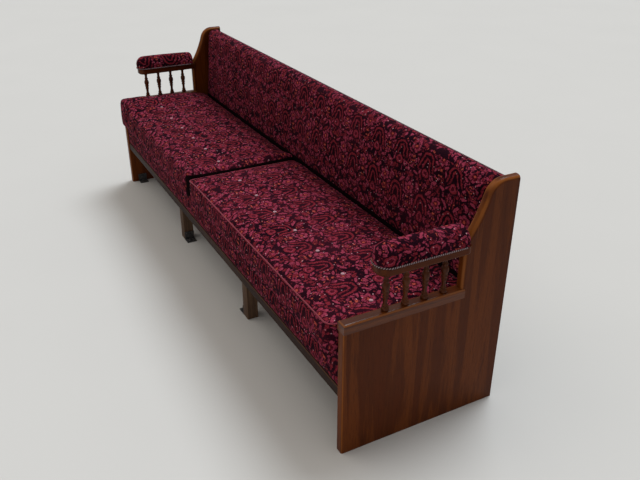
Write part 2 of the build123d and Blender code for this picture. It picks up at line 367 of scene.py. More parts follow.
@dataclass(frozen=True)
class Moquette:
    """Claret pile cloth figured with arches, drops and six-petalled flowers outlined in navy."""

    repeat_along: float = 0.146
    repeat_across: float = 0.163
    ground: Colour = (0.210, 0.018, 0.028)
    bloom: Colour = (0.320, 0.040, 0.076)
    shade: Colour = (0.0030, 0.0012, 0.0044)
    deep: Colour = (0.078, 0.005, 0.011)
    petal: Colour = (0.480, 0.078, 0.055)
    fleck: Colour = (0.640, 0.340, 0.380)
    sway_along: tuple[Cloud, ...] = (
        Cloud(14.0, strength=0.014, detail=1.0),
        Cloud(70.0, strength=0.010, detail=1.0, seed=4.0),
        Cloud(210.0, strength=0.008, detail=1.0, seed=7.0),
    )
    sway_across: tuple[Cloud, ...] = (
        Cloud(13.02, strength=0.014, detail=1.0, seed=2.0),
        Cloud(65.1, strength=0.010, detail=1.0, seed=6.0),
        Cloud(195.3, strength=0.008, detail=1.0, seed=9.0),
    )
    petal_sway: tuple[Cloud, Cloud] = (Cloud(34.0, strength=0.026), Cloud(30.0, strength=0.024, seed=5.0))
    petal_stretch: float = 0.66
    petal_scale: float = 66.0
    petal_choice: tuple[float, float] = (0.55, 0.02)
    petal_rim: tuple[float, float] = (0.060, 0.030)
    petal_rim_strength: float = 0.7
    wisps: Cloud = Cloud(32.0, level=0.38, strength=0.95, detail=1.0, seed=2.0)
    wisp_soft: float = 0.030
    tendrils: Cloud = Cloud(36.0, level=0.52, soft=0.026, detail=1.0, distortion=1.6)
    tendril_stretch: float = 0.55
    leaf_soft: float = 0.0010
    leaf_outline: float = 0.00275
    leaves: tuple[Leaf, ...] = (
        Leaf(0.044, -0.016, 62.0, 0.0170, 0.0050),
        Leaf(0.026, -0.050, -50.0, 0.0150, 0.0046),
        Leaf(0.052, -0.062, 20.0, 0.0140, 0.0052),
        Leaf(0.030, 0.054, 40.0, 0.0170, 0.0052),
        Leaf(0.048, 0.012, -35.0, 0.0110, 0.0044),
    )
    berries: tuple[Leaf, ...] = (
        Leaf(0.070, -0.006, 0.0, 0.0040, 0.0040),
        Leaf(0.068, -0.024, 0.0, 0.0036, 0.0036),
        Leaf(0.059, -0.040, 0.0, 0.0030, 0.0030),
        Leaf(0.000, 0.048, 0.0, 0.0034, 0.0034),
        Leaf(0.016, 0.066, 0.0, 0.0030, 0.0030),
    )
    flower_rise: float = 0.034
    flower_lobes: float = 3.0
    lobe_depth: float = 0.0085
    flower_rings: tuple[Ring, ...] = (Ring(0.0225, 0.0012, shade), Ring(0.0165, 0.0012, bloom))
    parting: tuple[float, float] = (0.26, 0.10)
    parting_ring: Ring = Ring(0.0170, 0.0010, deep)
    heart_ring: Ring = Ring(0.0055, 0.0012, deep)
    eye_ring: Ring = Ring(0.0050, 0.0010, petal)
    arch_flare: float = 0.30
    arch_squash: float = 0.80
    arch_legs: tuple[float, float] = (0.030, 0.003)
    arch_rings: tuple[Ring, ...] = (
        Ring(0.0115, 0.0010, shade, middle=0.0270),
        Ring(0.0040, 0.0008, ground, middle=0.0280),
        Ring(0.0120, 0.0012, ground),
        Ring(0.0065, 0.0010, shade),
    )
    drop_fall: float = 0.046
    drop_taper: float = 17.0
    drop_neck: float = 0.12
    drop_rings: tuple[Ring, ...] = (
        Ring(0.0235, 0.0010, shade),
        Ring(0.0180, 0.0010, ground),
        Ring(0.0115, 0.0010, bloom),
        Ring(0.0085, 0.0010, deep),
    )
    speckles: tuple[Speckle, ...] = (
        Speckle(44.0, 0.10, 0.035, petal, seed=3.0),
        Speckle(34.0, 0.062, 0.026, fleck, spread="2D"),
    )
    veins: Cloud = Cloud(125.0, level=0.50, soft=0.030, strength=0.75, distortion=0.6, seed=8.0)
    pile: Cloud = Cloud(420.0, level=0.46, soft=0.10, strength=0.30, detail=1.0)
    fading: Cloud = Cloud(3.2, level=0.42, soft=0.16, strength=0.06)
    folds: Cloud = Cloud(30.0)
    fold_height: float = 0.0010
    pile_height: float = 0.0006


class Weaver:
    """Draws the moquette's figure, one colour over another."""

    def __init__(self, cloth: Moquette) -> None:
        """Lay out the repeat, with lines that wander a little.

        Args:
            cloth: Sizes and colours of the figure.
        """
        self.cloth = cloth
        self.graph = Graph("claret_moquette")
        self.where, self.along, self.across = self.graph.cloth_place()
        for cloud in cloth.sway_along:
            self.along += self.graph.sway(self.where, cloud)
        for cloud in cloth.sway_across:
            self.across += self.graph.sway(self.where, cloud)
        self.side = abs(self.graph.wrap(self.along, cloth.repeat_along))
        self.rise = self.graph.wrap(self.across, cloth.repeat_across)
        self.colour: Term | Colour = cloth.bloom

    def paint(self, mask: Term, colour: Colour) -> None:
        """Lay a colour over what is drawn, where a mask is 1."""
        self.colour = self.graph.mix(mask, self.colour, colour)

    def rings(self, distance: Term, rings: tuple[Ring, ...], within: Term | None = None) -> None:
        """Paint bands and discs about a middle, one over another.

        Args:
            distance: Distance from the middle.
            rings: The bands and discs.
            within: Mask that they stay in.
        """
        for ring in rings:
            gap = abs(distance - ring.middle) if ring.middle else distance
            inside = self.graph.below(gap, ring.half, ring.soft)
            self.paint(inside if within is None else inside * within, ring.colour)

    def petals(self) -> None:
        """Ground of small petals, each its own red, with wisps of navy that swell and fade between."""
        cloth, graph = self.cloth, self.graph
        x = self.along + graph.sway(self.where, cloth.petal_sway[0])
        y = self.across * cloth.petal_stretch + graph.sway(self.where, cloth.petal_sway[1])
        gap, pick = graph.cells(graph.combine(x, y), cloth.petal_scale)
        self.paint(graph.below(pick, *cloth.petal_choice), cloth.ground)
        self.paint(graph.below(gap, *cloth.petal_rim) * cloth.petal_rim_strength, cloth.deep)
        self.paint(graph.below(gap - graph.sway(self.where, cloth.wisps), 0.0, cloth.wisp_soft), cloth.shade)
        where = graph.combine(self.along, self.across * cloth.tendril_stretch)
        self.paint(graph.lines(where, cloth.tendrils), cloth.shade)

    def leaf(self, leaf: Leaf, colour: Colour) -> None:
        """Paint a leaf or berry with its outline, on both sides of the repeat's middle.

        Args:
            leaf: The leaf.
            colour: Its colour.
        """
        x = self.side - leaf.along
        y = self.rise - leaf.across
        cosine, sine = math.cos(math.radians(leaf.turn)), math.sin(math.radians(leaf.turn))
        slimness = leaf.length / leaf.width
        reach = self.graph.length(x * cosine + y * sine, (y * cosine - x * sine) * slimness)
        soft = self.cloth.leaf_soft
        outline = Ring(leaf.length + self.cloth.leaf_outline * slimness, soft, self.cloth.shade)
        self.rings(reach, (outline, Ring(leaf.length, soft, colour)))

    def flower(self) -> None:
        """Paint the six-petalled flower half a repeat to the side of the arch."""
        cloth, graph = self.cloth, self.graph
        x = self.side - cloth.repeat_along / 2
        y = self.rise - cloth.flower_rise
        reach = graph.length(x, y)
        lobes = abs(graph.calc("COSINE", graph.calc("ARCTAN2", x, y) * cloth.flower_lobes))
        edge = reach - lobes * cloth.lobe_depth
        self.rings(edge, cloth.flower_rings)
        self.rings(reach, (cloth.parting_ring,), graph.below(lobes, *cloth.parting))
        self.rings(edge, (cloth.heart_ring,))
        self.rings(reach, (cloth.eye_ring,))

    def arch(self) -> None:
        """Paint the arch of one ribbon between navy lines, over a drop with a dark heart."""
        cloth, graph = self.cloth, self.graph
        above = graph.calc("MAXIMUM", self.rise, 0.0)
        under = graph.calc("MAXIMUM", self.rise * -1.0, 0.0)
        flare = self.side - under * cloth.arch_flare
        reach = graph.calc("SQRT", flare * flare + above * above * cloth.arch_squash)
        self.rings(reach, cloth.arch_rings, graph.below(under, *cloth.arch_legs))
        low = self.rise + cloth.drop_fall
        neck = graph.calc("MAXIMUM", low * -cloth.drop_taper + 1.0, cloth.drop_neck)
        self.rings(graph.length(graph.calc("DIVIDE", self.side, neck), low), cloth.drop_rings)

    def speckle(self, speckle: Speckle) -> None:
        """Paint scattered tufts.

        Args:
            speckle: Their size and colour.
        """
        where = self.where + speckle.seed if speckle.seed else self.where
        gap, pick = self.graph.specks(where, speckle.scale, speckle.spread)
        chosen = self.graph.calc("GREATER_THAN", pick, speckle.rarity)
        self.paint(self.graph.below(gap, speckle.radius, speckle.soft) * chosen, speckle.colour)

    def build(self) -> Material:
        """Draw the whole figure.

        Returns:
            The material.
        """
        cloth, graph = self.cloth, self.graph
        self.petals()
        for leaf in cloth.leaves:
            self.leaf(leaf, cloth.bloom)
        self.flower()
        self.arch()
        for berry in cloth.berries:
            self.leaf(berry, cloth.petal)
        for speckle in cloth.speckles:
            self.speckle(speckle)
        self.paint(graph.lines(self.where, cloth.veins), cloth.shade)
        self.paint(graph.patches(self.where, cloth.pile), cloth.deep)
        self.paint(graph.patches(graph.place(), cloth.fading), cloth.bloom)
        folds = graph.bump(graph.noise(self.where, cloth.folds), cloth.fold_height)
        return graph.finish(
            {
                "Base Color": self.colour,
                "Roughness": 0.95,
                "Specular IOR Level": 0.03,
                "Sheen Weight": 0.02,
                "Sheen Roughness": 0.40,
                "Sheen Tint": (0.95, 0.60, 0.80),
                "Normal": graph.bump(graph.noise(self.where, cloth.pile), cloth.pile_height, folds),
            }
        )


@dataclass(frozen=True)
class PlainCloth:
    """Plain woven or ribbed cloth, such as piping, braid, lining or a covered button."""

    name: str
    light: Colour
    dark: Colour
    threads: float = 900.0
    relief: float = 0.0003
    sheen: float = 0.15
    gloss: float = 0.3
    soil: Cloud = Cloud(14.0, level=0.42, soft=0.14, strength=0.45, detail=3.0)

    def build(self) -> Material:
        """Make the cloth's material.

        Returns:
            The material.
        """
        graph = Graph(self.name)
        where = graph.place()
        weave = Cloud(self.threads, level=0.50, soft=0.14, detail=1.0)
        colour = graph.mix(graph.patches(where, weave), self.light, self.dark)
        return graph.finish(
            {
                "Base Color": graph.mix(graph.patches(where, self.soil), colour, self.dark),
                "Roughness": 0.88,
                "Specular IOR Level": self.gloss,
                "Sheen Weight": self.sheen,
                "Normal": graph.bump(graph.noise(where, weave), self.relief),
            }
        )


@dataclass(frozen=True)
class Timber:
    """Finished wood with grain along one axis."""

    name: str
    run: Run
    light: Colour
    mid: Colour
    dark: Colour
    worn_and_highlit: Colour
    coat: float = 0.0
    gloss: float = 0.3
    roughness: tuple[float, float] = (0.30, 0.48)
    wear_and_highlight: float = 0.8
    grain_stretch: float = 0.055
    figure: Cloud = Cloud(21.0, level=0.50, soft=0.14, detail=4.0, distortion=0.7)
    figure_height: float = 0.0004
    rings: float = 24.0
    ring_edge: tuple[float, float] = (-0.30, 0.60)
    ring_strength: float = 0.26
    pores: Cloud = Cloud(520.0, level=0.40, soft=0.07, strength=0.45)
    pore_depth: float = 0.00012
    stains: Cloud = Cloud(2.4, level=0.42, soft=0.18, strength=0.35, detail=3.0)
    arris_edge: tuple[float, float] = (0.11, 0.09)
    rubbing_and_highlight: Cloud = Cloud(9.0, level=0.62, soft=0.16, detail=3.0)
    marks: Cloud = Cloud(60.0, detail=4.0)

    def build(self) -> Material:
        """Make the wood's material.

        Returns:
            The material.
        """
        graph = Graph(self.name)
        stretch = [1.0, 1.0, 1.0]
        stretch[self.run.value] = self.grain_stretch
        along = graph.place(tuple(stretch))
        plain = graph.place()
        figure = graph.noise(along, self.figure)
        rings = graph.below(graph.calc("SINE", figure * self.rings), *self.ring_edge)
        colour = graph.mix(graph.patches(along, self.figure), self.light, self.mid)
        for mask in (
            rings * self.ring_strength,
            graph.patches(along, self.pores),
            graph.patches(plain, self.stains),
        ):
            colour = graph.mix(mask, colour, self.dark)
        # Rounded edges take the lighter worn colour in random patches: partly real wear of the finish,
        # partly painted highlight where edges catch the light.
        edge = graph.calc("SUBTRACT", 1.0, graph.below(graph.arris(), *self.arris_edge))
        rubbed = edge * graph.patches(plain, self.rubbing_and_highlight)
        low, high = self.roughness
        swell = graph.bump(figure, self.figure_height)
        grain = graph.bump(graph.noise(along, self.pores), self.pore_depth, swell)
        return graph.finish(
            {
                "Base Color": graph.mix(rubbed * self.wear_and_highlight, colour, self.worn_and_highlit),
                "Roughness": graph.calc("MULTIPLY_ADD", graph.noise(plain, self.marks), high - low, low),
                "Specular IOR Level": self.gloss,
                "Coat Weight": self.coat,
                "Coat Roughness": 0.18,
                "Normal": grain,
            }
        )


@dataclass(frozen=True)
class PaintedIron:
    """Black painted iron, rubbed to bare metal on its edges."""

    paint: Colour = (0.020, 0.020, 0.022)
    bare: Colour = (0.16, 0.14, 0.13)
    dusty: Colour = (0.055, 0.046, 0.038)
    dust: Cloud = Cloud(35.0, level=0.45, soft=0.16, strength=0.5, detail=4.0)
    chips: Cloud = Cloud(160.0, level=0.36, soft=0.04, detail=3.0)
    roughness: tuple[float, float] = (0.35, 0.65)
    relief: float = 0.0004

    def build(self) -> Material:
        """Make the iron's material.

        Returns:
            The material.
        """
        graph = Graph("black_ironwork")
        where = graph.place()
        dust = graph.noise(where, self.dust)
        colour = graph.mix(graph.patches(where, self.dust), self.paint, self.dusty)
        low, high = self.roughness
        return graph.finish(
            {
                "Base Color": graph.mix(graph.patches(where, self.chips), colour, self.bare),
                "Roughness": graph.calc("MULTIPLY_ADD", dust, high - low, low),
                "Specular IOR Level": 0.5,
                "Normal": graph.bump(dust, self.relief),
            }
        )


class Palette:
    """Every finish of the bench, made once."""

    VARNISH = {
        "light": (0.132, 0.031, 0.004),
        "mid": (0.086, 0.017, 0.002),
        "dark": (0.034, 0.006, 0.001),
        "worn_and_highlit": (0.260, 0.080, 0.015),
    }
    STAIN = {
        "light": (0.150, 0.082, 0.042),
        "mid": (0.095, 0.048, 0.024),
        "dark": (0.036, 0.017, 0.009),
        "worn_and_highlit": (0.230, 0.140, 0.075),
        "roughness": (0.55, 0.75),
        "wear_and_highlight": 0.5,
    }
    # Darker copy of the varnish, painted shade for the arm rails and spindles under the arm pads.
    SHADED_VARNISH = {
        "light": (0.092, 0.020, 0.004),
        "mid": (0.056, 0.010, 0.002),
        "dark": (0.020, 0.004, 0.001),
        "worn_and_highlit": (0.165, 0.050, 0.012),
        "roughness": (0.24, 0.36),
        "wear_and_highlight": 0.25,
    }
    SMOKED = {
        "light": (0.040, 0.018, 0.011),
        "mid": (0.026, 0.011, 0.007),
        "dark": (0.010, 0.005, 0.004),
        "worn_and_highlit": (0.110, 0.050, 0.026),
        "roughness": (0.50, 0.70),
    }

    def __init__(self) -> None:
        """Make the materials."""
        piping = PlainCloth("piping_cord", (0.290, 0.036, 0.058), (0.150, 0.018, 0.030), sheen=0.05)
        silver = PlainCloth("silver_braid", (0.390, 0.310, 0.310), (0.170, 0.120, 0.120), 700.0)
        claret = PlainCloth("claret_braid", (0.060, 0.008, 0.016), (0.020, 0.003, 0.008), 700.0, sheen=0.05)
        button = PlainCloth("pale_button", (0.560, 0.360, 0.400), (0.330, 0.150, 0.180), 1100.0)
        hessian = PlainCloth("hessian_lining", (0.180, 0.130, 0.080), (0.070, 0.048, 0.030), 500.0)
        # Near-black cloth as painted shade: it darkens the joint between the cushions and the crease under
        # the back pad.
        platform = PlainCloth(
            "painted_shade_cloth", (0.009, 0.003, 0.004), (0.004, 0.0015, 0.002), sheen=0.0, gloss=0.04
        )
        self.moquette = Weaver(Moquette()).build()
        self.piping = piping.build()
        self.braid = (silver.build(), claret.build())
        self.button = button.build()
        self.lining = hessian.build()
        self.platform = platform.build()
        self.varnished = Timber("varnished_board", Run.Z, coat=0.08, gloss=0.06, **self.VARNISH).build()
        self.base_rail = Timber("varnished_rail", Run.Y, coat=0.25, gloss=0.15, **self.VARNISH).build()
        names = {run: f"frame_wood_{run.name.lower()}" for run in Run}
        self.framing = {run: Timber(name, run, **self.STAIN).build() for run, name in names.items()}
        # Spindles and arm rails take the darker copy of the varnish: painted shade.
        self.turned = Timber("turned_wood", Run.Z, coat=0.16, gloss=0.06, **self.SHADED_VARNISH).build()
        self.arm_rail = Timber("shaded_arm_rail", Run.Y, coat=0.10, gloss=0.04, **self.SHADED_VARNISH).build()
        self.foot_rail = Timber("dark_foot_rail", Run.X, gloss=0.12, **self.SMOKED).build()
        self.iron = PaintedIron().build()


def link(piece: Piece) -> Piece:
    """Put an object into the scene."""
    bpy.context.scene.collection.objects.link(piece)
    return piece


def to_piece(mesh: Mesh, name: str, *materials: Material) -> Piece:
    """Turn a bmesh into an object at the origin.

    Args:
        mesh: Finished bmesh, which is freed.
        name: Name of the piece.
        *materials: Its materials, by slot.

    Returns:
        The object, linked to the scene.
    """
    data = bpy.data.meshes.new(name)
    mesh.to_mesh(data)
    mesh.free()
    for material in materials:
        data.materials.append(material)
    return link(bpy.data.objects.new(name, data))


def place_piece(piece: Piece, body: str, slot: Slot, *nodes: str) -> Piece:
    """Attach a piece to the body that it rides on, and hide the nodes that it stands for.

    Args:
        piece: The finished piece.
        body: Body that it rides on.
        slot: Its finish slot; not used.
        *nodes: CAD nodes that it takes the place of.

    Returns:
        The piece.
    """
    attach(piece, body)
    if nodes:
        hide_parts(*nodes)
    log.info("%s: %d faces", piece.name, len(piece.data.polygons))
    return piece


def smooth(piece: Piece, sharp: float | None = None) -> Piece:
    """Shade a piece smooth.

    Args:
        piece: The piece.
        sharp: Angle in degrees over which an edge stays sharp.

    Returns:
        The piece.
    """
    piece.data.shade_smooth()
    if sharp is not None:
        piece.data.set_sharp_from_angle(angle=math.radians(sharp))
    return piece


def clamp(value: float) -> float:
    """Value kept between 0 and 1."""
    return min(1.0, max(0.0, value))


def spaced(first: Vector, last: Vector, steps: int) -> list[Vector]:
    """Points at even steps from one place to another, both included."""
    return [first.lerp(last, k / steps) for k in range(steps + 1)]


def add_box(mesh: Mesh, low: Vector, high: Vector) -> None:
    """Add a box.

    Args:
        mesh: Mesh to add to.
        low: Lowest corner.
        high: Highest corner.
    """
    made = bmesh.ops.create_cube(mesh, size=1.0)
    bmesh.ops.scale(mesh, vec=high - low, verts=made["verts"])
    bmesh.ops.translate(mesh, vec=(low + high) / 2, verts=made["verts"])


def add_dome(mesh: Mesh, spot: Vector, radius: float, flatness: float, segments: tuple[int, int]) -> None:
    """Add a flattened ball, such as a button or a nail's head.

    Args:
        mesh: Mesh to add to.
        spot: Middle of the ball.
        radius: Radius of the ball.
        flatness: Share of its height that is left.
        segments: Faces round it and from pole to pole.
    """
    u, v = segments
    made = bmesh.ops.create_uvsphere(mesh, u_segments=u, v_segments=v, radius=radius)
    bmesh.ops.scale(mesh, vec=(1.0, 1.0, flatness), verts=made["verts"])
    bmesh.ops.translate(mesh, vec=spot, verts=made["verts"])


def ease(mesh: Mesh, edges: list[bmesh.types.BMEdge], width: float) -> None:
    """Round off edges.

    Args:
        mesh: Mesh that has them.
        edges: The edges.
        width: Width of the rounding.
    """
    bmesh.ops.bevel(
        mesh,
        geom=edges,
        offset=width,
        segments=2,
        profile=0.5,
        affect="EDGES",
        material=-1,
        clamp_overlap=True,
    )


def gridded_box(low: Vector, high: Vector, quad: float) -> Mesh:
    """Box between two corners, cut into quads of about one size.

    Args:
        low: Lowest corner.
        high: Highest corner.
        quad: Size of the quads.

    Returns:
        The box.
    """
    mesh = bmesh.new()
    add_box(mesh, low, high)
    for axis in range(3):
        cuts = round((high - low)[axis] / quad) - 1
        edges = [e for e in mesh.edges if abs(e.verts[0].co[axis] - e.verts[1].co[axis]) > SAME_POINT]
        if cuts > 0:
            bmesh.ops.subdivide_edges(mesh, edges=edges, cuts=cuts, use_grid_fill=True)
    return mesh


def turn_corner(out_a: float, out_b: float) -> tuple[float, float]:
    """Move a point of a square corner onto rings of a round one.

    Args:
        out_a: Distance out from the corner's centre, one way.
        out_b: Distance out from the corner's centre, the other way.

    Returns:
        The moved distances.
    """
    length = math.hypot(out_a, out_b)
    if length < NO_LENGTH:
        return out_a, out_b
    share = max(out_a, out_b) / length
    return out_a * share, out_b * share


def lay_cloth(piece: Piece, run: Run, top: float, end: float) -> None:
    """Give a piece a cloth map in metres, unfolded from its top over its sides.

    Args:
        piece: Mesh object.
        run: Level axis of the cloth's width.
        top: Height of the top.
        end: Distance from the map's zero at which the ends start.
    """
    along, across = run.value, 1 - run.value
    data = piece.data
    layer = data.uv_layers.new(name=CLOTH_MAP)
    for face in data.polygons:
        normal = face.normal
        for loop in face.loop_indices:
            spot = data.vertices[data.loops[loop].vertex_index].co
            drop = top - spot.z
            u, v = spot[along], spot[across]
            if normal.z < STEEP:
                if abs(normal[along]) > abs(normal[across]):
                    u = math.copysign(end + drop, normal[along])
                else:
                    v += math.copysign(drop, normal[across])
            layer.data[loop].uv = (u, v)


@dataclass(frozen=True)
class Ripple:
    """Shallow unevenness of a stuffed face: its height, waves to the metre each way and seed."""

    height: float
    along: float
    across: float
    seed: float

    def at(self, u: float, v: float) -> float:
        """Height at a place on the face."""
        return noise.noise(Vector((u * self.along, v * self.across, self.seed))) * self.height


@dataclass(frozen=True)
class Stuffing:
    """Short cloth simulation that blows a closed cover up, by at most a cap in metres."""

    pressure: float
    cap: float
    fill: float
    quality: int = 6
    mass: float = 0.25
    stretch: float = 12.0
    shear: float = 6.0
    bending: float = 0.6
    shrink: float = -0.012
    frames: int = 20

    def blow(self, piece: Piece, held: list[int]) -> None:
        """Run the simulation and keep its result.

        Args:
            piece: Mesh object with a closed cover.
            held: Vertices that stay, such as seams and the foot.
        """
        group = piece.vertex_groups.new(name="held")
        group.add(held, 1.0, "REPLACE")
        modifier = piece.modifiers.new("stuffing", "CLOTH")
        settings = modifier.settings
        settings.quality = self.quality
        settings.mass = self.mass
        settings.tension_stiffness = self.stretch
        settings.compression_stiffness = self.stretch
        settings.shear_stiffness = self.shear
        settings.bending_stiffness = self.bending
        settings.use_pressure = True
        settings.uniform_pressure_force = self.pressure
        settings.vertex_group_mass = "held"
        settings.effector_weights.gravity = 0.0
        settings.shrink_min = self.shrink
        modifier.collision_settings.use_collision = False
        modifier.point_cache.frame_start = 1
        modifier.point_cache.frame_end = self.frames
        scene = bpy.context.scene
        for step in range(1, self.frames + 1):
            scene.frame_set(step)
        evaluated = piece.evaluated_get(bpy.context.evaluated_depsgraph_get())
        moved = [vertex.co.copy() for vertex in evaluated.data.vertices]
        for vertex, target in zip(piece.data.vertices, moved):
            shift = target - vertex.co
            if shift.length > NO_LENGTH:
                vertex.co += shift.normalized() * self.cap * math.tanh(shift.length / self.cap)
        piece.modifiers.remove(modifier)
        piece.vertex_groups.remove(group)
        scene.frame_set(1)

    def fill_cover(self, piece: Piece, held: list[int], run: Run, top: float, end: float) -> None:
        """Args:
            piece: Mesh object with a closed cover.
            held: Vertices that stay.
            run: Level axis of the cloth's width.
            top: Height of the top.
            end: Distance from the map's zero at which the ends start.
        """
        self.blow(piece, held)
        lay_cloth(piece, run, top, end)
        modifier = piece.modifiers.new("cover", "SUBSURF")
        modifier.levels = 1
        modifier.render_levels = 1
        smooth(piece)


def cord_piece(name: str, path: list[Vector], radius: float, finish: Material) -> Piece:
    """Round trim that follows a path.

    Args:
        name: Name of the piece.
        path: Points of its middle line.
        radius: Radius of the trim.
        finish: Its material.

    Returns:
        The trim as a mesh.
    """
    curve = bpy.data.curves.new(name, "CURVE")
    curve.dimensions = "3D"
    curve.bevel_depth = radius
    curve.bevel_resolution = 2
    curve.use_fill_caps = True
    spline = curve.splines.new("POLY")
    spline.points.add(len(path) - 1)
    for point, spot in zip(spline.points, path):
        point.co = (*spot, 1.0)
    holder = bpy.data.objects.new(name + "_line", curve)
    data = bpy.data.meshes.new_from_object(holder)
    bpy.data.objects.remove(holder)
    bpy.data.curves.remove(curve)
    data.name = name
    data.materials.clear()
    data.materials.append(finish)
    return smooth(link(bpy.data.objects.new(name, data)))


@dataclass(frozen=True)
class Gimp:
    """Braid twisted from one pale and one dark strand, by shares of its half thickness in metres."""

    radius: float
    pitch: float = 3.0
    offset: float = 0.5
    strand: float = 0.58
    steps: int = 6

    def strand_points(self, path: list[Vector], start: float) -> list[Vector]:
        """Middle line of one strand, wound about a path.

        Args:
            path: Points of the gimp's middle line.
            start: Angle at which the strand starts.

        Returns:
            The points.
        """
        lengths = [0.0]
        for first, second in zip(path, path[1:]):
            lengths.append(lengths[-1] + (second - first).length)
        count = int(lengths[-1] / (self.radius * self.pitch) * self.steps)
        points = []
        index = 0
        for k in range(count + 1):
            far = lengths[-1] * k / count
            while index < len(lengths) - 2 and lengths[index + 1] < far:
                index += 1
            first, second = path[index], path[index + 1]
            share = (far - lengths[index]) / max(lengths[index + 1] - lengths[index], NO_LENGTH)
            forward = (second - first).normalized()
            side = forward.cross(UP).normalized()
            angle = 2 * math.pi * k / self.steps + start
            out = side * math.cos(angle) + side.cross(forward) * math.sin(angle)
            points.append(first.lerp(second, share) + out * self.radius * self.offset)
        return points

    def build(self, name: str, path: list[Vector], finishes: tuple[Material, Material]) -> None:
        """Twist the strands along a path and join them.

        Args:
            name: Name of the piece.
            path: Points of its middle line.
            finishes: Materials of its strands.
        """
        mesh = bmesh.new()
        for number, finish in enumerate(finishes):
            points = self.strand_points(path, number * math.pi)
            strand = cord_piece(f"{name}_{number}", points, self.radius * self.strand, finish)
            known = len(mesh.faces)
            mesh.from_mesh(strand.data)
            for face in mesh.faces[known:]:
                face.material_index = number
            bpy.data.objects.remove(strand)
        place_piece(smooth(to_piece(mesh, name, *finishes)), FRAME_BODY, Slot.MOQUETTE)


@dataclass(frozen=True)
class CushionShape:
    """Sizes of one loose seat cushion in metres, and shares of them."""

    front_corner: float = 0.034
    rear_corner: float = 0.012
    edge_round: float = 0.009
    joint_round: float = 0.013
    crown: float = 0.007
    ripple: Ripple = Ripple(0.0016, 7.0, 9.0, 1.7)
    end_rise: float = 0.0
    joint_lift: float = -0.012
    joint_reach: float = 0.12
    # The rise starts at this share of the half length, climbs over the next and falls to the rear.
    rise_start: float = 0.45
    rise_reach: float = 0.45
    rise_fall: tuple[float, float] = (0.20, 0.75)
    rear_fall: float = 0.006
    rear_reach: float = 0.035
    inset: float = 0.003
    joint_inset: float = 0.0025
    rear_inset: float = 0.0015
    quad: float = 0.0095
    foot: float = 0.012
    rear_hold: float = 0.002
    piped: bool = True
    piping_radius: float = 0.0024
    piping_sink: float = 0.30
    side_steps: int = 24
    corner_steps: int = 12
    front_steps: int = 60
    seam_depth: float = 1.2
    seam_reach: float = 0.006
    bulge: float = 0.005
    # How far a face has to turn down, to the joint or to the rear before it gets another cloth: the hessian
    # lining below, and near-black cloth as painted shade in the joint and the crease.
    lining_facing: float = 0.7
    joint_facing: float = 0.45
    crease_facing: float = 0.75
    painted_shade_depth: float = 0.22


@dataclass(frozen=True)
class ButtonRow:
    """Tuft buttons in a row along a cushion, in metres."""

    first: float
    pitch: float
    setback: float = 0.177
    count: int = 7
    radius: float = 0.0068
    segments: tuple[int, int] = (16, 10)
    flatness: float = 0.50
    stand: float = 0.0022
    dimple_depth: float = 0.007
    dimple_radius: float = 0.026
    dimple_fall: float = 1.6
    hold: float = 0.008


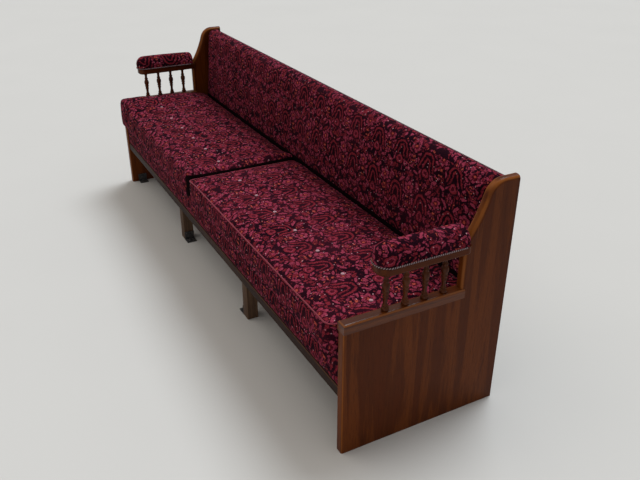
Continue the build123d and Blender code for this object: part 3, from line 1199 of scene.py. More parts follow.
class SeatCushion:
    """One loose seat cushion with its cover, buttons and piping."""

    def __init__(self, node: str, body: str, shape: CushionShape, row: ButtonRow, palette: Palette) -> None:
        """Take a cushion's place from its node.

        Args:
            node: Node that it stands for.
            body: Body that it rides on.
            shape: Its sizes.
            row: Its buttons, from the joint outwards.
            palette: The finishes.
        """
        self.node = node
        self.body = body
        self.shape = shape
        self.row = row
        self.palette = palette
        self.low, self.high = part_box(node)
        self.outward = 1.0 if self.low.x + self.high.x > 0 else -1.0
        self.high.y -= shape.rear_inset
        if self.outward > 0:
            self.low.x += shape.joint_inset
            self.high.x -= shape.inset
            self.joint_x = self.low.x
        else:
            self.low.x += shape.inset
            self.high.x -= shape.joint_inset
            self.joint_x = self.high.x
        self.middle = (self.low + self.high) / 2
        self.half = (self.high - self.low) / 2
        y = self.low.y + row.setback
        reach = (row.first + k * row.pitch for k in range(row.count))
        self.button_spots = [Vector((self.joint_x + self.outward * far, y, self.high.z)) for far in reach]

    def corner_centre(self, spot: Vector) -> tuple[float, float, float, float, float]:
        """Plan corner that a point is nearest to.

        Args:
            spot: The point.

        Returns:
            Sides of the corner along X and Y, its centre's X and Y, and its radius.
        """
        side_x = 1.0 if spot.x > self.middle.x else -1.0
        side_y = 1.0 if spot.y > self.middle.y else -1.0
        radius = self.shape.rear_corner if side_y > 0 else self.shape.front_corner
        end = self.high.x if side_x > 0 else self.low.x
        face = self.high.y if side_y > 0 else self.low.y
        return side_x, side_y, end - side_x * radius, face - side_y * radius, radius

    def rounding(self, away: Vector) -> float:
        """Radius of the top edge on the side that a level direction points to."""
        joint_share = max(0.0, -self.outward * away.x) ** 2
        return self.shape.edge_round + (self.shape.joint_round - self.shape.edge_round) * joint_share

    def shaped(self, spot: Vector) -> Vector:
        """Move a point of the gridded box onto the round-cornered cushion.

        Args:
            spot: The point.

        Returns:
            Where it goes.
        """
        side_x, side_y, centre_x, centre_y, radius = self.corner_centre(spot)
        out_x = (spot.x - centre_x) * side_x
        out_y = (spot.y - centre_y) * side_y
        inside = min(radius - out_x, radius - out_y)
        away = Vector((side_x, 0.0, 0.0)) if out_x > out_y else Vector((0.0, side_y, 0.0))
        x, y, z = spot
        if out_x > 0 and out_y > 0:
            turned_x, turned_y = turn_corner(out_x, out_y)
            x = centre_x + turned_x * side_x
            y = centre_y + turned_y * side_y
            inside = radius - math.hypot(turned_x, turned_y)
            away = Vector((turned_x * side_x, turned_y * side_y, 0.0)).normalized()
        edge = self.rounding(away)
        up = spot.z - (self.high.z - edge)
        out = edge - inside
        if up > 0 and out > 0:
            turned_out, turned_up = turn_corner(out, up)
            x += away.x * (turned_out - out)
            y += away.y * (turned_out - out)
            z = self.high.z - edge + turned_up
        return Vector((x, y, z))

    def lift(self, x: float, y: float) -> float:
        """Rise of the stuffed top over the flat one at a place.

        Args:
            x: Place along the bench.
            y: Place across it.

        Returns:
            The rise.
        """
        along = (x - self.middle.x) / self.half.x
        across = (y - self.middle.y) / self.half.y
        dome = max(0.0, 1 - abs(along) ** 6) * max(0.0, 1 - abs(across) ** 4)
        rise = (self.shape.crown + self.shape.ripple.at(x, y)) * dome
        for spot in self.button_spots:
            gap = math.hypot(x - spot.x, y - spot.y) / self.row.dimple_radius
            rise -= self.row.dimple_depth * math.exp(-gap * gap * self.row.dimple_fall)
        return rise

    def plump(self, spot: Vector) -> float:
        """Rise of a point towards the cushion's outer end, and its fall into the joint and the crease.

        Args:
            spot: The point.

        Returns:
            The rise.
        """
        shape = self.shape
        out = (spot.x - self.middle.x) * self.outward / self.half.x
        outer = clamp((out - shape.rise_start) / shape.rise_reach)
        rear = clamp((spot.y - self.low.y) / (self.high.y - self.low.y))
        up = max(0.0, (spot.z - self.low.z) / (self.high.z - self.low.z))
        early, late = shape.rise_fall
        rise = shape.end_rise * outer * outer * (3 - 2 * outer) * (1 - early * rear - late * rear**3)
        joint = max(0.0, 1 - abs(spot.x - self.joint_x) / shape.joint_reach)
        crease = max(0.0, 1 - (self.high.y - spot.y) / shape.rear_reach)
        return (rise + shape.joint_lift * joint * joint - shape.rear_fall * crease * crease) * up * up

    def cloth_of(self, face: bmesh.types.BMFace) -> int:
        """Choose a face's material.

        Args:
            face: The face.

        Returns:
            0 for moquette, 1 for the lining below, 2 for near-black cloth, painted shade deep in joint and
            crease.
        """
        shape = self.shape
        if face.normal.z < -shape.lining_facing:
            return 1
        # Faces turned to the joint or the rear, below the top edge, take the near-black cloth: painted
        # shade.
        in_painted_shade = -self.outward * face.normal.x > shape.joint_facing or face.normal.y > shape.crease_facing
        deep = face.calc_center_median().z < self.high.z - shape.joint_round * shape.painted_shade_depth
        return 2 if in_painted_shade and deep else 0

    def cover(self) -> None:
        """Cushion cover, stuffed by a cloth simulation between its seams and buttons."""
        shape = self.shape
        mesh = gridded_box(self.low, self.high, shape.quad)
        tops = {vertex for vertex in mesh.verts if vertex.co.z > self.high.z - SAME_POINT}
        seam = self.high.z - shape.edge_round * shape.seam_depth
        sewn = set()
        for vertex in mesh.verts:
            vertex.co = self.shaped(vertex.co.copy())
            if vertex in tops:
                vertex.co.z += self.lift(vertex.co.x, vertex.co.y)
            elif shape.piped and abs(vertex.co.z - seam) < shape.seam_reach:
                sewn.add(vertex)
            vertex.co.z += self.plump(vertex.co)
        mesh.normal_update()
        for face in mesh.faces:
            face.material_index = self.cloth_of(face)
        held = []
        for vertex in mesh.verts:
            buttoned = vertex in tops and any(
                (vertex.co - spot).xy.length < self.row.hold for spot in self.button_spots
            )
            on_foot = vertex.co.z < self.low.z + shape.foot or vertex.co.y > self.high.y - shape.rear_hold
            if on_foot or buttoned or vertex in sewn:
                held.append(vertex.index)
        cloths = (self.palette.moquette, self.palette.lining, self.palette.platform)
        piece = to_piece(mesh, self.node + "_cover", *cloths)
        stuffing = Stuffing(pressure=3.0, cap=shape.bulge, fill=0.85)
        stuffing.fill_cover(piece, held, Run.X, self.high.z, abs(self.high.x))
        place_piece(piece, self.body, Slot.MOQUETTE, self.node)

    def buttons(self) -> None:
        """Row of domed cloth buttons, drawn down into the top."""
        row = self.row
        mesh = bmesh.new()
        for spot in self.button_spots:
            level = spot.z + self.lift(spot.x, spot.y)
            level += self.plump(Vector((spot.x, spot.y, level)))
            place = Vector((spot.x, spot.y, level + row.stand))
            add_dome(mesh, place, row.radius, row.flatness, row.segments)
        piece = smooth(to_piece(mesh, self.node + "_buttons", self.palette.button))
        place_piece(piece, self.body, Slot.MOQUETTE)

    def on_arris(self, centre: Vector, angle: float) -> Vector:
        """Place of the piping out from a point of the line that the plan corners' centres are on.

        Args:
            centre: The point.
            angle: Direction outwards, from +X towards +Y.

        Returns:
            Middle of the piping.
        """
        away = Vector((math.cos(angle), math.sin(angle), 0.0))
        sunk = self.rounding(away) * self.shape.piping_sink
        spot = centre + away * (self.shape.front_corner - sunk + self.shape.piping_radius / 4)
        spot.z = self.high.z - sunk
        spot.z += self.plump(spot)
        return spot

    def quarter(self, centre: Vector, start: float) -> list[tuple[Vector, float]]:
        """Stations of the piping round a plan corner's centre, from one direction to the next."""
        steps = self.shape.corner_steps
        return [(centre, start + math.pi / 2 * k / steps) for k in range(steps + 1)]

    def piping(self) -> None:
        """Piping cord sewn along the top edge, from one rear corner round the front to the other."""
        shape = self.shape
        left, right = self.low.x + shape.front_corner, self.high.x - shape.front_corner
        front, rear = self.low.y + shape.front_corner, self.high.y - shape.rear_corner
        left_front, right_front = Vector((left, front, 0.0)), Vector((right, front, 0.0))
        left_side = spaced(Vector((left, rear, 0.0)), left_front, shape.side_steps)
        right_side = spaced(right_front, Vector((right, rear, 0.0)), shape.side_steps)
        west, south, east = math.pi, math.pi * 1.5, math.pi * 2
        stations = [(spot, west) for spot in left_side[:-1]]
        stations += self.quarter(left_front, west)
        stations += [(spot, south) for spot in spaced(left_front, right_front, shape.front_steps)[1:-1]]
        stations += self.quarter(right_front, south)
        stations += [(spot, east) for spot in right_side[1:]]
        path = [self.on_arris(spot, angle) for spot, angle in stations]
        piece = cord_piece(self.node + "_piping", path, shape.piping_radius, self.palette.piping)
        place_piece(piece, self.body, Slot.MOQUETTE)

    def build(self) -> None:
        """Make the cushion's pieces."""
        self.cover()
        self.buttons()
        if self.shape.piped:
            self.piping()


@dataclass(frozen=True)
class BackPadShape:
    """Sizes of the back pad in metres, and shares of them."""

    roll: float = 0.038
    roll_steps: int = 12
    seat: float = 0.450
    quad: float = 0.0125
    longest_quad: float = 1.4
    face_crown: float = 0.006
    ripple: Ripple = Ripple(0.0022, 6.0, 8.0, 4.2)
    inset: float = 0.0006
    end_round: float = 0.018
    end_cuts: tuple[float, ...] = (0.12, 0.35, 0.65)
    end_draw: float = 0.8
    end_fade: int = 30
    tuck: float = 0.008
    tuck_rise: float = 0.08
    margin: float = 0.004
    tack_depth: float = 0.9
    lap_gap: float = 0.0003
    stuffing: Stuffing = Stuffing(pressure=2.5, cap=0.006, fill=0.9)
    gimp: Gimp = Gimp(0.0026)
    gimp_inset: tuple[float, float] = (0.012, 0.0030)
    gimp_level: float = 0.55
    gimp_steps: int = 120


class BackPad:
    """Long back pad with a rolled top, and the gimp along the back of the roll."""

    def __init__(self, shape: BackPadShape, palette: Palette) -> None:
        """Take the pad's place from its node.

        Args:
            shape: Its sizes.
            palette: The finishes.
        """
        self.shape = shape
        self.palette = palette
        self.low, self.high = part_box("back_pad")
        self.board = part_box("back_board")[0].y
        self.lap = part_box("back_top_rail")[1].z + shape.lap_gap
        self.core = Vector((0.0, self.high.y - shape.roll, self.high.z - shape.roll))
        self.half = (self.high.x - self.low.x) / 2 - shape.inset

    def section(self, mesh: Mesh) -> None:
        """Draw the pad's outline at its far end as a closed chain of edges.

        Args:
            mesh: Mesh to draw in.
        """
        roll = self.shape.roll
        x = self.low.x + self.shape.inset
        centre = Vector((x, self.core.y, self.core.z))
        crease = Vector((x, self.low.y, self.shape.seat))
        reach = (centre - crease).length
        bearing = math.atan2(centre.z - crease.z, centre.y - crease.y)
        angle = bearing + math.pi - math.acos(roll / reach)
        touch = mesh.verts.new(centre + Vector((0.0, math.cos(angle), math.sin(angle))) * roll)
        spun = bmesh.ops.spin(
            mesh,
            geom=[touch],
            cent=centre,
            axis=ALONG,
            dvec=STILL,
            angle=-angle,
            steps=self.shape.roll_steps,
        )
        heel = next(part for part in spun["geom_last"] if isinstance(part, bmesh.types.BMVert))
        rest = [
            (self.high.y, self.lap),
            (self.board, self.lap),
            (self.board, self.low.z),
            (self.low.y, self.low.z),
            (self.low.y, self.shape.seat),
        ]
        chain = [heel] + [mesh.verts.new((x, y, z)) for y, z in rest] + [touch]
        for first, second in zip(chain, chain[1:]):
            mesh.edges.new((first, second))
        longest = self.shape.quad * self.shape.longest_quad
        while wide := [edge for edge in mesh.edges if edge.calc_length() > longest]:
            bmesh.ops.subdivide_edges(mesh, edges=wide, cuts=1)

    def bolster(self) -> Mesh:
        """Outline drawn along the bench and closed at its ends, with close rings there.

        Returns:
            The closed mesh.
        """
        mesh = bmesh.new()
        self.section(mesh)
        length = self.high.x - self.low.x - 2 * self.shape.inset
        steps = round(length / self.shape.quad)
        bmesh.ops.spin(
            mesh,
            geom=mesh.verts[:] + mesh.edges[:],
            cent=STILL,
            axis=ALONG,
            dvec=ALONG * (length / steps),
            angle=0.0,
            steps=steps,
        )
        bmesh.ops.remove_doubles(mesh, verts=mesh.verts, dist=SAME_POINT)
        for side in (-1.0, 1.0):
            for share in self.shape.end_cuts:
                x = side * (self.high.x - self.shape.inset - share * self.shape.end_round)
                geometry = mesh.verts[:] + mesh.edges[:] + mesh.faces[:]
                bmesh.ops.bisect_plane(mesh, geom=geometry, plane_co=ALONG * x, plane_no=ALONG)
        rims = [edge for edge in mesh.edges if edge.is_boundary]
        bmesh.ops.holes_fill(mesh, edges=rims, sides=0)
        bmesh.ops.recalc_face_normals(mesh, faces=mesh.faces)
        return mesh

    def shaped(self, spot: Vector) -> Vector:
        """Draw a point in at the rounded ends, and swell or tuck the face.

        Args:
            spot: The point.

        Returns:
            Where it goes.
        """
        shape, core, fore = self.shape, self.core, self.board - self.shape.margin / 2
        out = (abs(spot.x) - self.half + shape.end_round) / shape.end_round
        if out > 0 and spot.z > shape.seat and (spot.y < fore or spot.z > core.z):
            drawn_in = shape.end_round * (1 - math.sqrt(max(0.0, 1 - min(out, 1.0) ** 2)))
            middle = Vector((spot.x, core.y, min(spot.z, core.z)))
            spot += (middle - spot).normalized() * drawn_in * shape.end_draw
        if spot.y < fore and shape.seat < spot.z < core.z:
            climb = (spot.z - shape.seat) / (core.z - shape.seat)
            ends = max(0.0, 1 - abs(spot.x / self.half) ** shape.end_fade)
            swell = shape.face_crown * math.sin(climb * math.pi) + shape.ripple.at(spot.x, spot.z)
            tuck = max(0.0, 1 - climb / shape.tuck_rise)
            spot.y += shape.tuck * tuck * tuck - swell * ends
        return spot

    def is_held(self, spot: Vector) -> bool:
        """Whether a point is tacked down.

        Args:
            spot: The point.

        Returns:
            True at the back, the foot and the ends.
        """
        shape = self.shape
        behind = spot.y > self.board - shape.margin and spot.z < self.high.z - shape.roll * shape.tack_depth
        foot = spot.z < shape.seat + shape.margin
        return behind or foot or abs(spot.x) > self.half - shape.margin

    def cover(self) -> None:
        """Pad cover, drawn along the bench and stuffed."""
        mesh = self.bolster()
        held = []
        for vertex in mesh.verts:
            vertex.co = self.shaped(vertex.co.copy())
            if self.is_held(vertex.co):
                held.append(vertex.index)
        # Faces below the seat take the near-black cloth: painted shade in the crease between seat and back
        # pad.
        for face in mesh.faces:
            below_seat = face.calc_center_median().z < self.shape.seat - self.shape.margin
            face.material_index = 1 if below_seat else 0
        piece = to_piece(mesh, "back_pad_cover", self.palette.moquette, self.palette.platform)
        self.shape.stuffing.fill_cover(piece, held, Run.X, self.high.z, abs(self.high.x))
        place_piece(piece, FRAME_BODY, Slot.MOQUETTE, "back_pad")

    def braid(self) -> None:
        """Gimp tacked along the roll's back edge."""
        end_gap, rear_gap = self.shape.gimp_inset
        reach = self.high.x - end_gap
        y, z = self.high.y - rear_gap, self.high.z - self.shape.roll * self.shape.gimp_level
        path = spaced(Vector((-reach, y, z)), Vector((reach, y, z)), self.shape.gimp_steps)
        self.shape.gimp.build("back_pad_braid", path, self.palette.braid)

    def build(self) -> None:
        """Make the pad's pieces."""
        self.cover()
        self.braid()


@dataclass(frozen=True)
class ArmPadShape:
    """Sizes of an arm pad and its gimp, in metres."""

    voxel: float = 0.004
    smoothings: int = 4
    foot: float = 0.006
    crown: float = 0.004
    nose_lift: float = 0.0025
    stuffing: Stuffing = Stuffing(pressure=2.0, cap=0.003, fill=0.95)
    nose: float = 0.042
    gimp: Gimp = Gimp(0.0025)
    gimp_rise: float = 0.0045
    gimp_gap: float = 0.0002
    gimp_stop: float = 0.014
    gimp_steps: int = 24


class ArmRest:
    """Padded top of one arm rest, its gimp and its four turned spindles."""

    def __init__(self, end: str, shape: ArmPadShape, palette: Palette) -> None:
        """Take the arm rest's place from its nodes.

        Args:
            end: Which end of the bench, near or far.
            shape: Sizes of the pad.
            palette: The finishes.
        """
        self.end = end
        self.node = f"arm_pad_{end}"
        self.shape = shape
        self.palette = palette
        self.low, self.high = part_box(self.node)

    def even_copy(self) -> Piece:
        """Copy of the pad's solid, remeshed into even quads.

        Returns:
            The copy.
        """
        mesh = bmesh.new()
        mesh.from_mesh(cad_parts[self.node].data)
        bmesh.ops.remove_doubles(mesh, verts=mesh.verts, dist=WELD)
        piece = to_piece(mesh, self.node + "_cover", self.palette.moquette)
        remesh = piece.modifiers.new("even_quads", "REMESH")
        remesh.mode = "VOXEL"
        remesh.voxel_size = self.shape.voxel
        evaluated = piece.evaluated_get(bpy.context.evaluated_depsgraph_get())
        data = bpy.data.meshes.new_from_object(evaluated)
        piece.modifiers.remove(remesh)
        even = bmesh.new()
        even.from_mesh(data)
        bpy.data.meshes.remove(data)
        axes = {f"use_axis_{axis}": True for axis in "xyz"}
        for _ in range(self.shape.smoothings):
            bmesh.ops.smooth_vert(even, verts=even.verts, factor=0.5, **axes)
        even.to_mesh(piece.data)
        even.free()
        return piece

    def pad(self) -> None:
        """Stuffed pad, domed and a little higher at its nose."""
        shape, low, high = self.shape, self.low, self.high
        middle, half = (low + high) / 2, (high - low) / 2
        piece = self.even_copy()
        held = []
        for vertex in piece.data.vertices:
            spot = vertex.co
            if spot.z < low.z + shape.foot:
                spot.z = max(spot.z, low.z)
                held.append(vertex.index)
            else:
                share = (spot.z - low.z) / (high.z - low.z)
                dome = max(0.0, 1 - abs((spot.x - middle.x) / half.x) ** 2)
                spot.z += share * (shape.crown * dome - shape.nose_lift * (spot.y - middle.y) / half.y)
        shape.stuffing.fill_cover(piece, held, Run.Y, high.z, abs(low.y))
        place_piece(piece, FRAME_BODY, Slot.MOQUETTE, self.node)

    def gimp(self) -> None:
        """Silver gimp round the pad's lower edge."""
        shape, steps = self.shape, self.shape.gimp_steps
        level = self.low.z + shape.gimp_rise
        middle = (self.low.x + self.high.x) / 2
        half = (self.high.x - self.low.x) / 2 + shape.gimp_gap
        front, rear = self.low.y + shape.nose, self.high.y - shape.gimp_stop
        path = spaced(Vector((middle - half, rear, level)), Vector((middle - half, front, level)), steps)
        for k in range(1, steps):
            angle = math.pi + math.pi * k / steps
            y = front + (shape.nose + shape.gimp_gap) * math.sin(angle)
            path.append(Vector((middle + half * math.cos(angle), y, level)))
        path += spaced(Vector((middle + half, front, level)), Vector((middle + half, rear, level)), steps)
        shape.gimp.build(self.node + "_gimp", path, self.palette.braid)

    def build(self) -> None:
        """Make the arm rest's pieces."""
        self.pad()
        self.gimp()
        for number in range(1, 5):
            Spindle().build(f"spindle_{self.end}_{number}", self.palette.turned)


@dataclass(frozen=True)
class Spindle:
    """A turned spindle: share of its height, share of its full radius."""

    outline: tuple[tuple[float, float], ...] = (
        (0.000, 0.86), (0.020, 0.94), (0.055, 0.98), (0.080, 0.90), (0.092, 0.68), (0.105, 0.62),
        (0.118, 0.76), (0.135, 0.80), (0.152, 0.74), (0.165, 0.58), (0.190, 0.54), (0.270, 0.55),
        (0.330, 0.60), (0.345, 0.72), (0.365, 0.77), (0.385, 0.72), (0.398, 0.62), (0.420, 0.66),
        (0.436, 0.80), (0.458, 0.86), (0.480, 0.81), (0.494, 0.70), (0.512, 0.78), (0.545, 0.92),
        (0.590, 0.99), (0.630, 1.00), (0.665, 0.93), (0.695, 0.78), (0.712, 0.63), (0.726, 0.62),
        (0.742, 0.75), (0.760, 0.79), (0.778, 0.73), (0.792, 0.57), (0.840, 0.53), (0.900, 0.57),
        (0.928, 0.62), (0.940, 0.76), (0.960, 0.81), (0.980, 0.78), (1.000, 0.72),
    )
    facets: int = 32
    sharp: float = 60.0

    def build(self, node: str, finish: Material) -> None:
        """Spin the outline between the ends of a node.

        Args:
            node: Node that the spindle stands for.
            finish: The wood.
        """
        low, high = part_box(node)
        mesh = bmesh.new()
        radius = (high.x - low.x) / 2
        height = high.z - low.z
        foot = Vector(((low.x + high.x) / 2, (low.y + high.y) / 2, low.z))
        chain = [mesh.verts.new(foot)]
        for level, share in self.outline:
            chain.append(mesh.verts.new(foot + Vector((radius * share, 0.0, height * level))))
        chain.append(mesh.verts.new(foot + Vector((0.0, 0.0, height))))
        for first, second in zip(chain, chain[1:]):
            mesh.edges.new((first, second))
        bmesh.ops.spin(
            mesh,
            geom=mesh.verts[:] + mesh.edges[:],
            cent=foot,
            axis=UP,
            dvec=STILL,
            angle=2 * math.pi,
            steps=self.facets,
            use_merge=True,
        )
        bmesh.ops.remove_doubles(mesh, verts=mesh.verts, dist=SAME_POINT)
        bmesh.ops.recalc_face_normals(mesh, faces=mesh.faces)
        piece = smooth(to_piece(mesh, node + "_turned", finish), self.sharp)
        place_piece(piece, FRAME_BODY, Slot.TURNED_WOOD, node)


@dataclass(frozen=True)
class Apron:
    """Cloth-covered apron under the cushions: sizes in metres, and how its edges fade into its face."""

    quad: float = 0.0115
    draw_in: float = 0.005
    wadding: float = 0.002
    edge_fade: int = 5
    end_fade: int = 80
    hold: float = 0.6
    ripple: Ripple = Ripple(0.0012, 5.0, 11.0, 2.6)
    stuffing: Stuffing = Stuffing(pressure=1.5, cap=0.003, fill=1.0)

    def build(self, finish: Material) -> None:
        """Make the apron's cover, lightly wadded and drawn in at its edges.

        Args:
            finish: The cloth.
        """
        low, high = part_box("apron_cover")
        mesh = gridded_box(low, high, self.quad)
        middle, half = (low + high) / 2, (high - low) / 2
        held = []
        for vertex in mesh.verts:
            spot = vertex.co
            up = abs((spot.z - middle.z) / half.z)
            end = abs((spot.x - middle.x) / half.x)
            edge = max(up**self.edge_fade, end**self.end_fade)
            if spot.y < middle.y:
                spot.y += self.draw_in * edge - self.wadding * (1 - edge)
                spot.y -= self.ripple.at(spot.x, spot.z) * (1 - edge)
            if spot.y > middle.y or edge > self.hold:
                held.append(vertex.index)
        piece = to_piece(mesh, "apron_cover_cloth", finish)
        self.stuffing.fill_cover(piece, held, Run.X, high.z, abs(high.x))
        place_piece(piece, FRAME_BODY, Slot.MOQUETTE, "apron_cover")


@dataclass(frozen=True)
class Board:
    """A planed board that stands where a node of the frame stands."""

    node: str
    run: Run
    arris: float = 0.0022
    planks: int = 1
    sharp: float = 50.0

    def build(self, finishes: dict[Run, Material]) -> None:
        """Make the board, or several edge to edge, with eased edges.

        Args:
            finishes: The wood for each direction of grain.
        """
        low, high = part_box(self.node)
        mesh = bmesh.new()
        rise = (high.z - low.z) / self.planks
        for number in range(self.planks):
            foot = Vector((low.x, low.y, low.z + number * rise))
            add_box(mesh, foot, Vector((high.x, high.y, low.z + (number + 1) * rise)))
        ease(mesh, mesh.edges[:], self.arris)
        bmesh.ops.recalc_face_normals(mesh, faces=mesh.faces)
        piece = smooth(to_piece(mesh, self.node + "_board", finishes[self.run]), self.sharp)
        place_piece(piece, FRAME_BODY, Slot.FRAME_WOOD, self.node)


class Joinery:
    """End boards, rails and the seat frame."""

    BOARDS = (
        Board("seat_front_rail", Run.X),
        Board("seat_rear_rail", Run.X),
        Board("back_top_rail", Run.X),
        Board("back_board", Run.X, arris=0.0018, planks=4),
        Board("apron_board", Run.X),
        *(Board(f"seat_bearer_{number}", Run.Y) for number in range(1, 5)),
        *(Board(f"seat_slat_{number}", Run.X) for number in range(1, 6)),
        *(Board(f"front_leg_{number}", Run.Z) for number in (1, 2)),
    )

    def __init__(self, palette: Palette) -> None:
        """Keep the finishes."""
        self.palette = palette

    def dress(self, node: str, finish: Material) -> None:
        """Give a CAD node its finish.

        Args:
            node: The node.
            finish: Its finish.
        """
        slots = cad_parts[node].data.materials
        slots.clear()
        slots.append(finish)
        log.info("%s: dressed", node)

    def build(self) -> None:
        """Make the boards and dress the nodes that stay."""
        for board in self.BOARDS:
            board.build(self.palette.framing)
        for end in ENDS:
            self.dress(f"end_board_{end}", self.palette.varnished)
            self.dress(f"base_rail_{end}", self.palette.base_rail)
            self.dress(f"arm_rail_{end}", self.palette.arm_rail)
            self.dress(f"end_bracket_{end}", self.palette.iron)
        for number in (1, 2):
            self.dress(f"leg_bracket_{number}", self.palette.iron)
        for number in range(1, 5):
            self.dress(f"back_post_{number}", self.palette.framing[Run.Z])
        self.dress("apron_foot_rail", self.palette.foot_rail)


@dataclass(frozen=True)
class Fixings:
    """Square-headed coach screws with washers, and slat nails, in metres."""

    head: float = 0.013
    height: float = 0.006
    washer: float = 0.011
    washer_facets: int = 24
    washer_thickness: float = 0.0016
    arris: float = 0.0007
    flange: float = 0.005
    from_bend: float = 0.0225
    post_level: float = 0.200
    nail: float = 0.0035
    nail_segments: tuple[int, int] = (12, 6)
    nail_flatness: float = 0.06
    nail_shares: tuple[float, float] = (0.3, 0.7)
    brackets: tuple[tuple[str, float], ...] = (
        ("end_bracket_near", -1.0),
        ("end_bracket_far", 1.0),
        ("leg_bracket_1", 1.0),
        ("leg_bracket_2", -1.0),
    )

    def head_at(self, mesh: Mesh, seat: Vector, axis: Vector) -> None:
        """Add one screw head and its washer.

        Args:
            mesh: Mesh to add to.
            seat: Middle of the washer's underside.
            axis: Way that the head points.
        """
        move = Matrix.Translation(seat) @ UP.rotation_difference(axis).to_matrix().to_4x4()
        ring = bmesh.ops.create_cone(
            mesh,
            cap_ends=True,
            segments=self.washer_facets,
            radius1=self.washer,
            radius2=self.washer,
            depth=self.washer_thickness,
            matrix=move @ Matrix.Translation(UP * self.washer_thickness / 2),
        )
        cube = bmesh.ops.create_cube(mesh, size=1.0)
        bmesh.ops.scale(mesh, vec=(self.head, self.head, self.height), verts=cube["verts"])
        lift = Matrix.Translation(UP * (self.washer_thickness + self.height / 2))
        bmesh.ops.transform(mesh, matrix=move @ lift, verts=cube["verts"])
        edges = {edge for vertex in cube["verts"] + ring["verts"] for edge in vertex.link_edges}
        ease(mesh, list(edges), self.arris)

    def screws(self, finish: Material) -> None:
        """Screws of the brackets and of the wall posts.

        Args:
            finish: The iron.
        """
        mesh = bmesh.new()
        for name, toward in self.brackets:
            low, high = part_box(name)
            wall = low.x if toward > 0 else high.x
            y = (low.y + high.y) / 2
            self.head_at(mesh, Vector((wall + toward * self.from_bend, y, self.flange)), UP)
            upright = Vector((wall + toward * self.flange, y, self.from_bend))
            self.head_at(mesh, upright, Vector((toward, 0.0, 0.0)))
        for number in range(1, 5):
            low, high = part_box(f"back_post_{number}")
            spot = Vector(((low.x + high.x) / 2, low.y, self.post_level))
            self.head_at(mesh, spot, Vector((0.0, -1.0, 0.0)))
        place_piece(to_piece(mesh, "coach_screws", finish), FRAME_BODY, Slot.IRONWORK)

    def nails(self, finish: Material) -> None:
        """Domed nails through the slats into the bearers.

        Args:
            finish: The iron.
        """
        mesh = bmesh.new()
        for slat in range(1, 6):
            slat_low, slat_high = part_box(f"seat_slat_{slat}")
            for bearer in range(1, 5):
                low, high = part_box(f"seat_bearer_{bearer}")
                for share in self.nail_shares:
                    y = slat_low.y + (slat_high.y - slat_low.y) * share
                    spot = Vector(((low.x + high.x) / 2, y, slat_high.z))
                    add_dome(mesh, spot, self.nail, self.nail_flatness, self.nail_segments)
        place_piece(smooth(to_piece(mesh, "slat_nails", finish)), FRAME_BODY, Slot.IRONWORK)


@dataclass(frozen=True)
class Lamp:
    """A broad, soft light from one side, with its spread in degrees."""

    name: str
    side: tuple[float, float, float]
    spread: float
    power: float
    colour: Colour

    def build(self) -> None:
        """Hang the light."""
        data = bpy.data.lights.new(self.name, "SUN")
        data.angle = math.radians(self.spread)
        data.energy = self.power
        data.color = self.colour
        lamp = link(bpy.data.objects.new(self.name, data))
        lamp.location = self.side
        lamp.rotation_euler = (-Vector(self.side)).to_track_quat("-Z", "Y").to_euler()


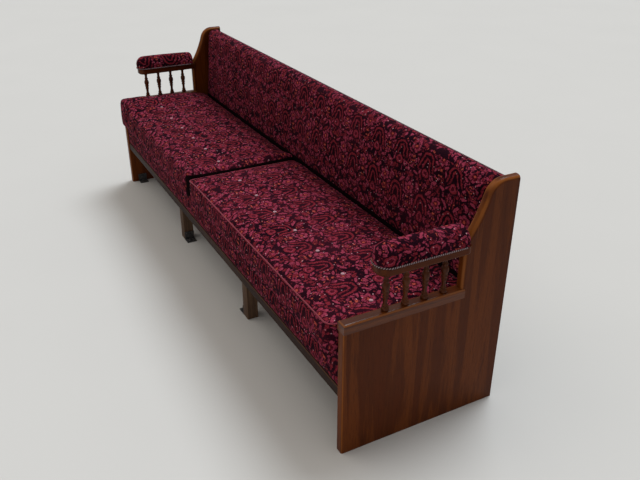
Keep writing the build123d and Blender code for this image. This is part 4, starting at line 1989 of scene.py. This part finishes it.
@dataclass(frozen=True)
class Studio:
    """Pale floor, world, lamps and camera."""

    station: tuple[float, float, float] = (2.5915, -1.0856, 1.5800)
    forward: tuple[float, float, float] = (-0.7810, 0.4156, -0.4661)
    sensor: float = 36.0
    lens: float = 40.0
    floor: Colour = (0.60, 0.585, 0.56)
    floor_reach: float = 30.0
    floor_shade: float = 0.96
    mottle: Cloud = Cloud(1.5, detail=3.0)
    backdrop: Colour = (0.72, 0.715, 0.70)
    daylight: Colour = (1.0, 0.99, 0.98)
    ambient: float = 0.38
    lamps: tuple[Lamp, ...] = (
        Lamp("window_light", (-0.5, 1.0, 2.0), 30.0, 2.2, (0.87, 0.94, 1.0)),
        Lamp("room_light", (-0.7, -0.8, 2.0), 60.0, 0.75, (1.0, 0.93, 0.85)),
    )

    def camera(self) -> None:
        """Camera where the photograph was taken from, aimed at the bench."""
        data = bpy.data.cameras.new("camera")
        data.sensor_width = self.sensor
        data.lens = self.lens
        camera = link(bpy.data.objects.new("camera", data))
        back = -Vector(self.forward).normalized()
        right = UP.cross(back).normalized()
        turn = Matrix((right, back.cross(right), back)).transposed().to_4x4()
        camera.matrix_world = Matrix.Translation(self.station) @ turn
        bpy.context.scene.camera = camera

    def ground(self) -> None:
        """Broad pale floor."""
        mesh = bmesh.new()
        bmesh.ops.create_grid(mesh, x_segments=1, y_segments=1, size=self.floor_reach)
        graph = Graph("studio_floor")
        shade = tuple(part * self.floor_shade for part in self.floor)
        colour = graph.mix(graph.noise(graph.place(), self.mottle), self.floor, shade)
        finish = graph.finish({"Base Color": colour, "Roughness": 0.85, "Specular IOR Level": 0.2})
        to_piece(mesh, "studio_floor", finish)

    def sky(self) -> None:
        """Even world light, with a pale backdrop for the camera."""
        world = bpy.data.worlds.new("studio_world")
        world.use_nodes = True
        tree = world.node_tree
        tree.nodes.clear()
        path = tree.nodes.new("ShaderNodeLightPath")
        even = tree.nodes.new("ShaderNodeBackground")
        even.inputs["Color"].default_value = (*self.daylight, 1.0)
        even.inputs["Strength"].default_value = self.ambient
        seen = tree.nodes.new("ShaderNodeBackground")
        seen.inputs["Color"].default_value = (*self.backdrop, 1.0)
        choose = tree.nodes.new("ShaderNodeMixShader")
        output = tree.nodes.new("ShaderNodeOutputWorld")
        tree.links.new(path.outputs["Is Camera Ray"], choose.inputs[0])
        tree.links.new(even.outputs[0], choose.inputs[1])
        tree.links.new(seen.outputs[0], choose.inputs[2])
        tree.links.new(choose.outputs[0], output.inputs["Surface"])
        bpy.context.scene.world = world

    def build(self) -> None:
        """Set the stage."""
        self.camera()
        self.ground()
        self.sky()
        for lamp in self.lamps:
            lamp.build()
        bpy.context.scene.view_settings.view_transform = "Standard"


def main() -> None:
    """Dress the bench and report each piece."""
    logging.basicConfig(level=logging.INFO, format="%(message)s")
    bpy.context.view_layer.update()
    Studio().build()
    palette = Palette()
    near_row = ButtonRow(first=0.137, pitch=0.1685)
    far_row = ButtonRow(first=0.092, pitch=0.165)
    plump = CushionShape(
        edge_round=0.014, joint_round=0.021, end_rise=0.036, joint_lift=0.012, piped=False, bulge=0.007
    )
    SeatCushion("cushion_near", "near_cushion", CushionShape(), near_row, palette).build()
    SeatCushion("cushion_far", "far_cushion", plump, far_row, palette).build()
    BackPad(BackPadShape(), palette).build()
    for end in ENDS:
        ArmRest(end, ArmPadShape(), palette).build()
    Apron().build(palette.moquette)
    Joinery(palette).build()
    Fixings().screws(palette.iron)
    Fixings().nails(palette.iron)


if __name__ == "__main__":
    main()
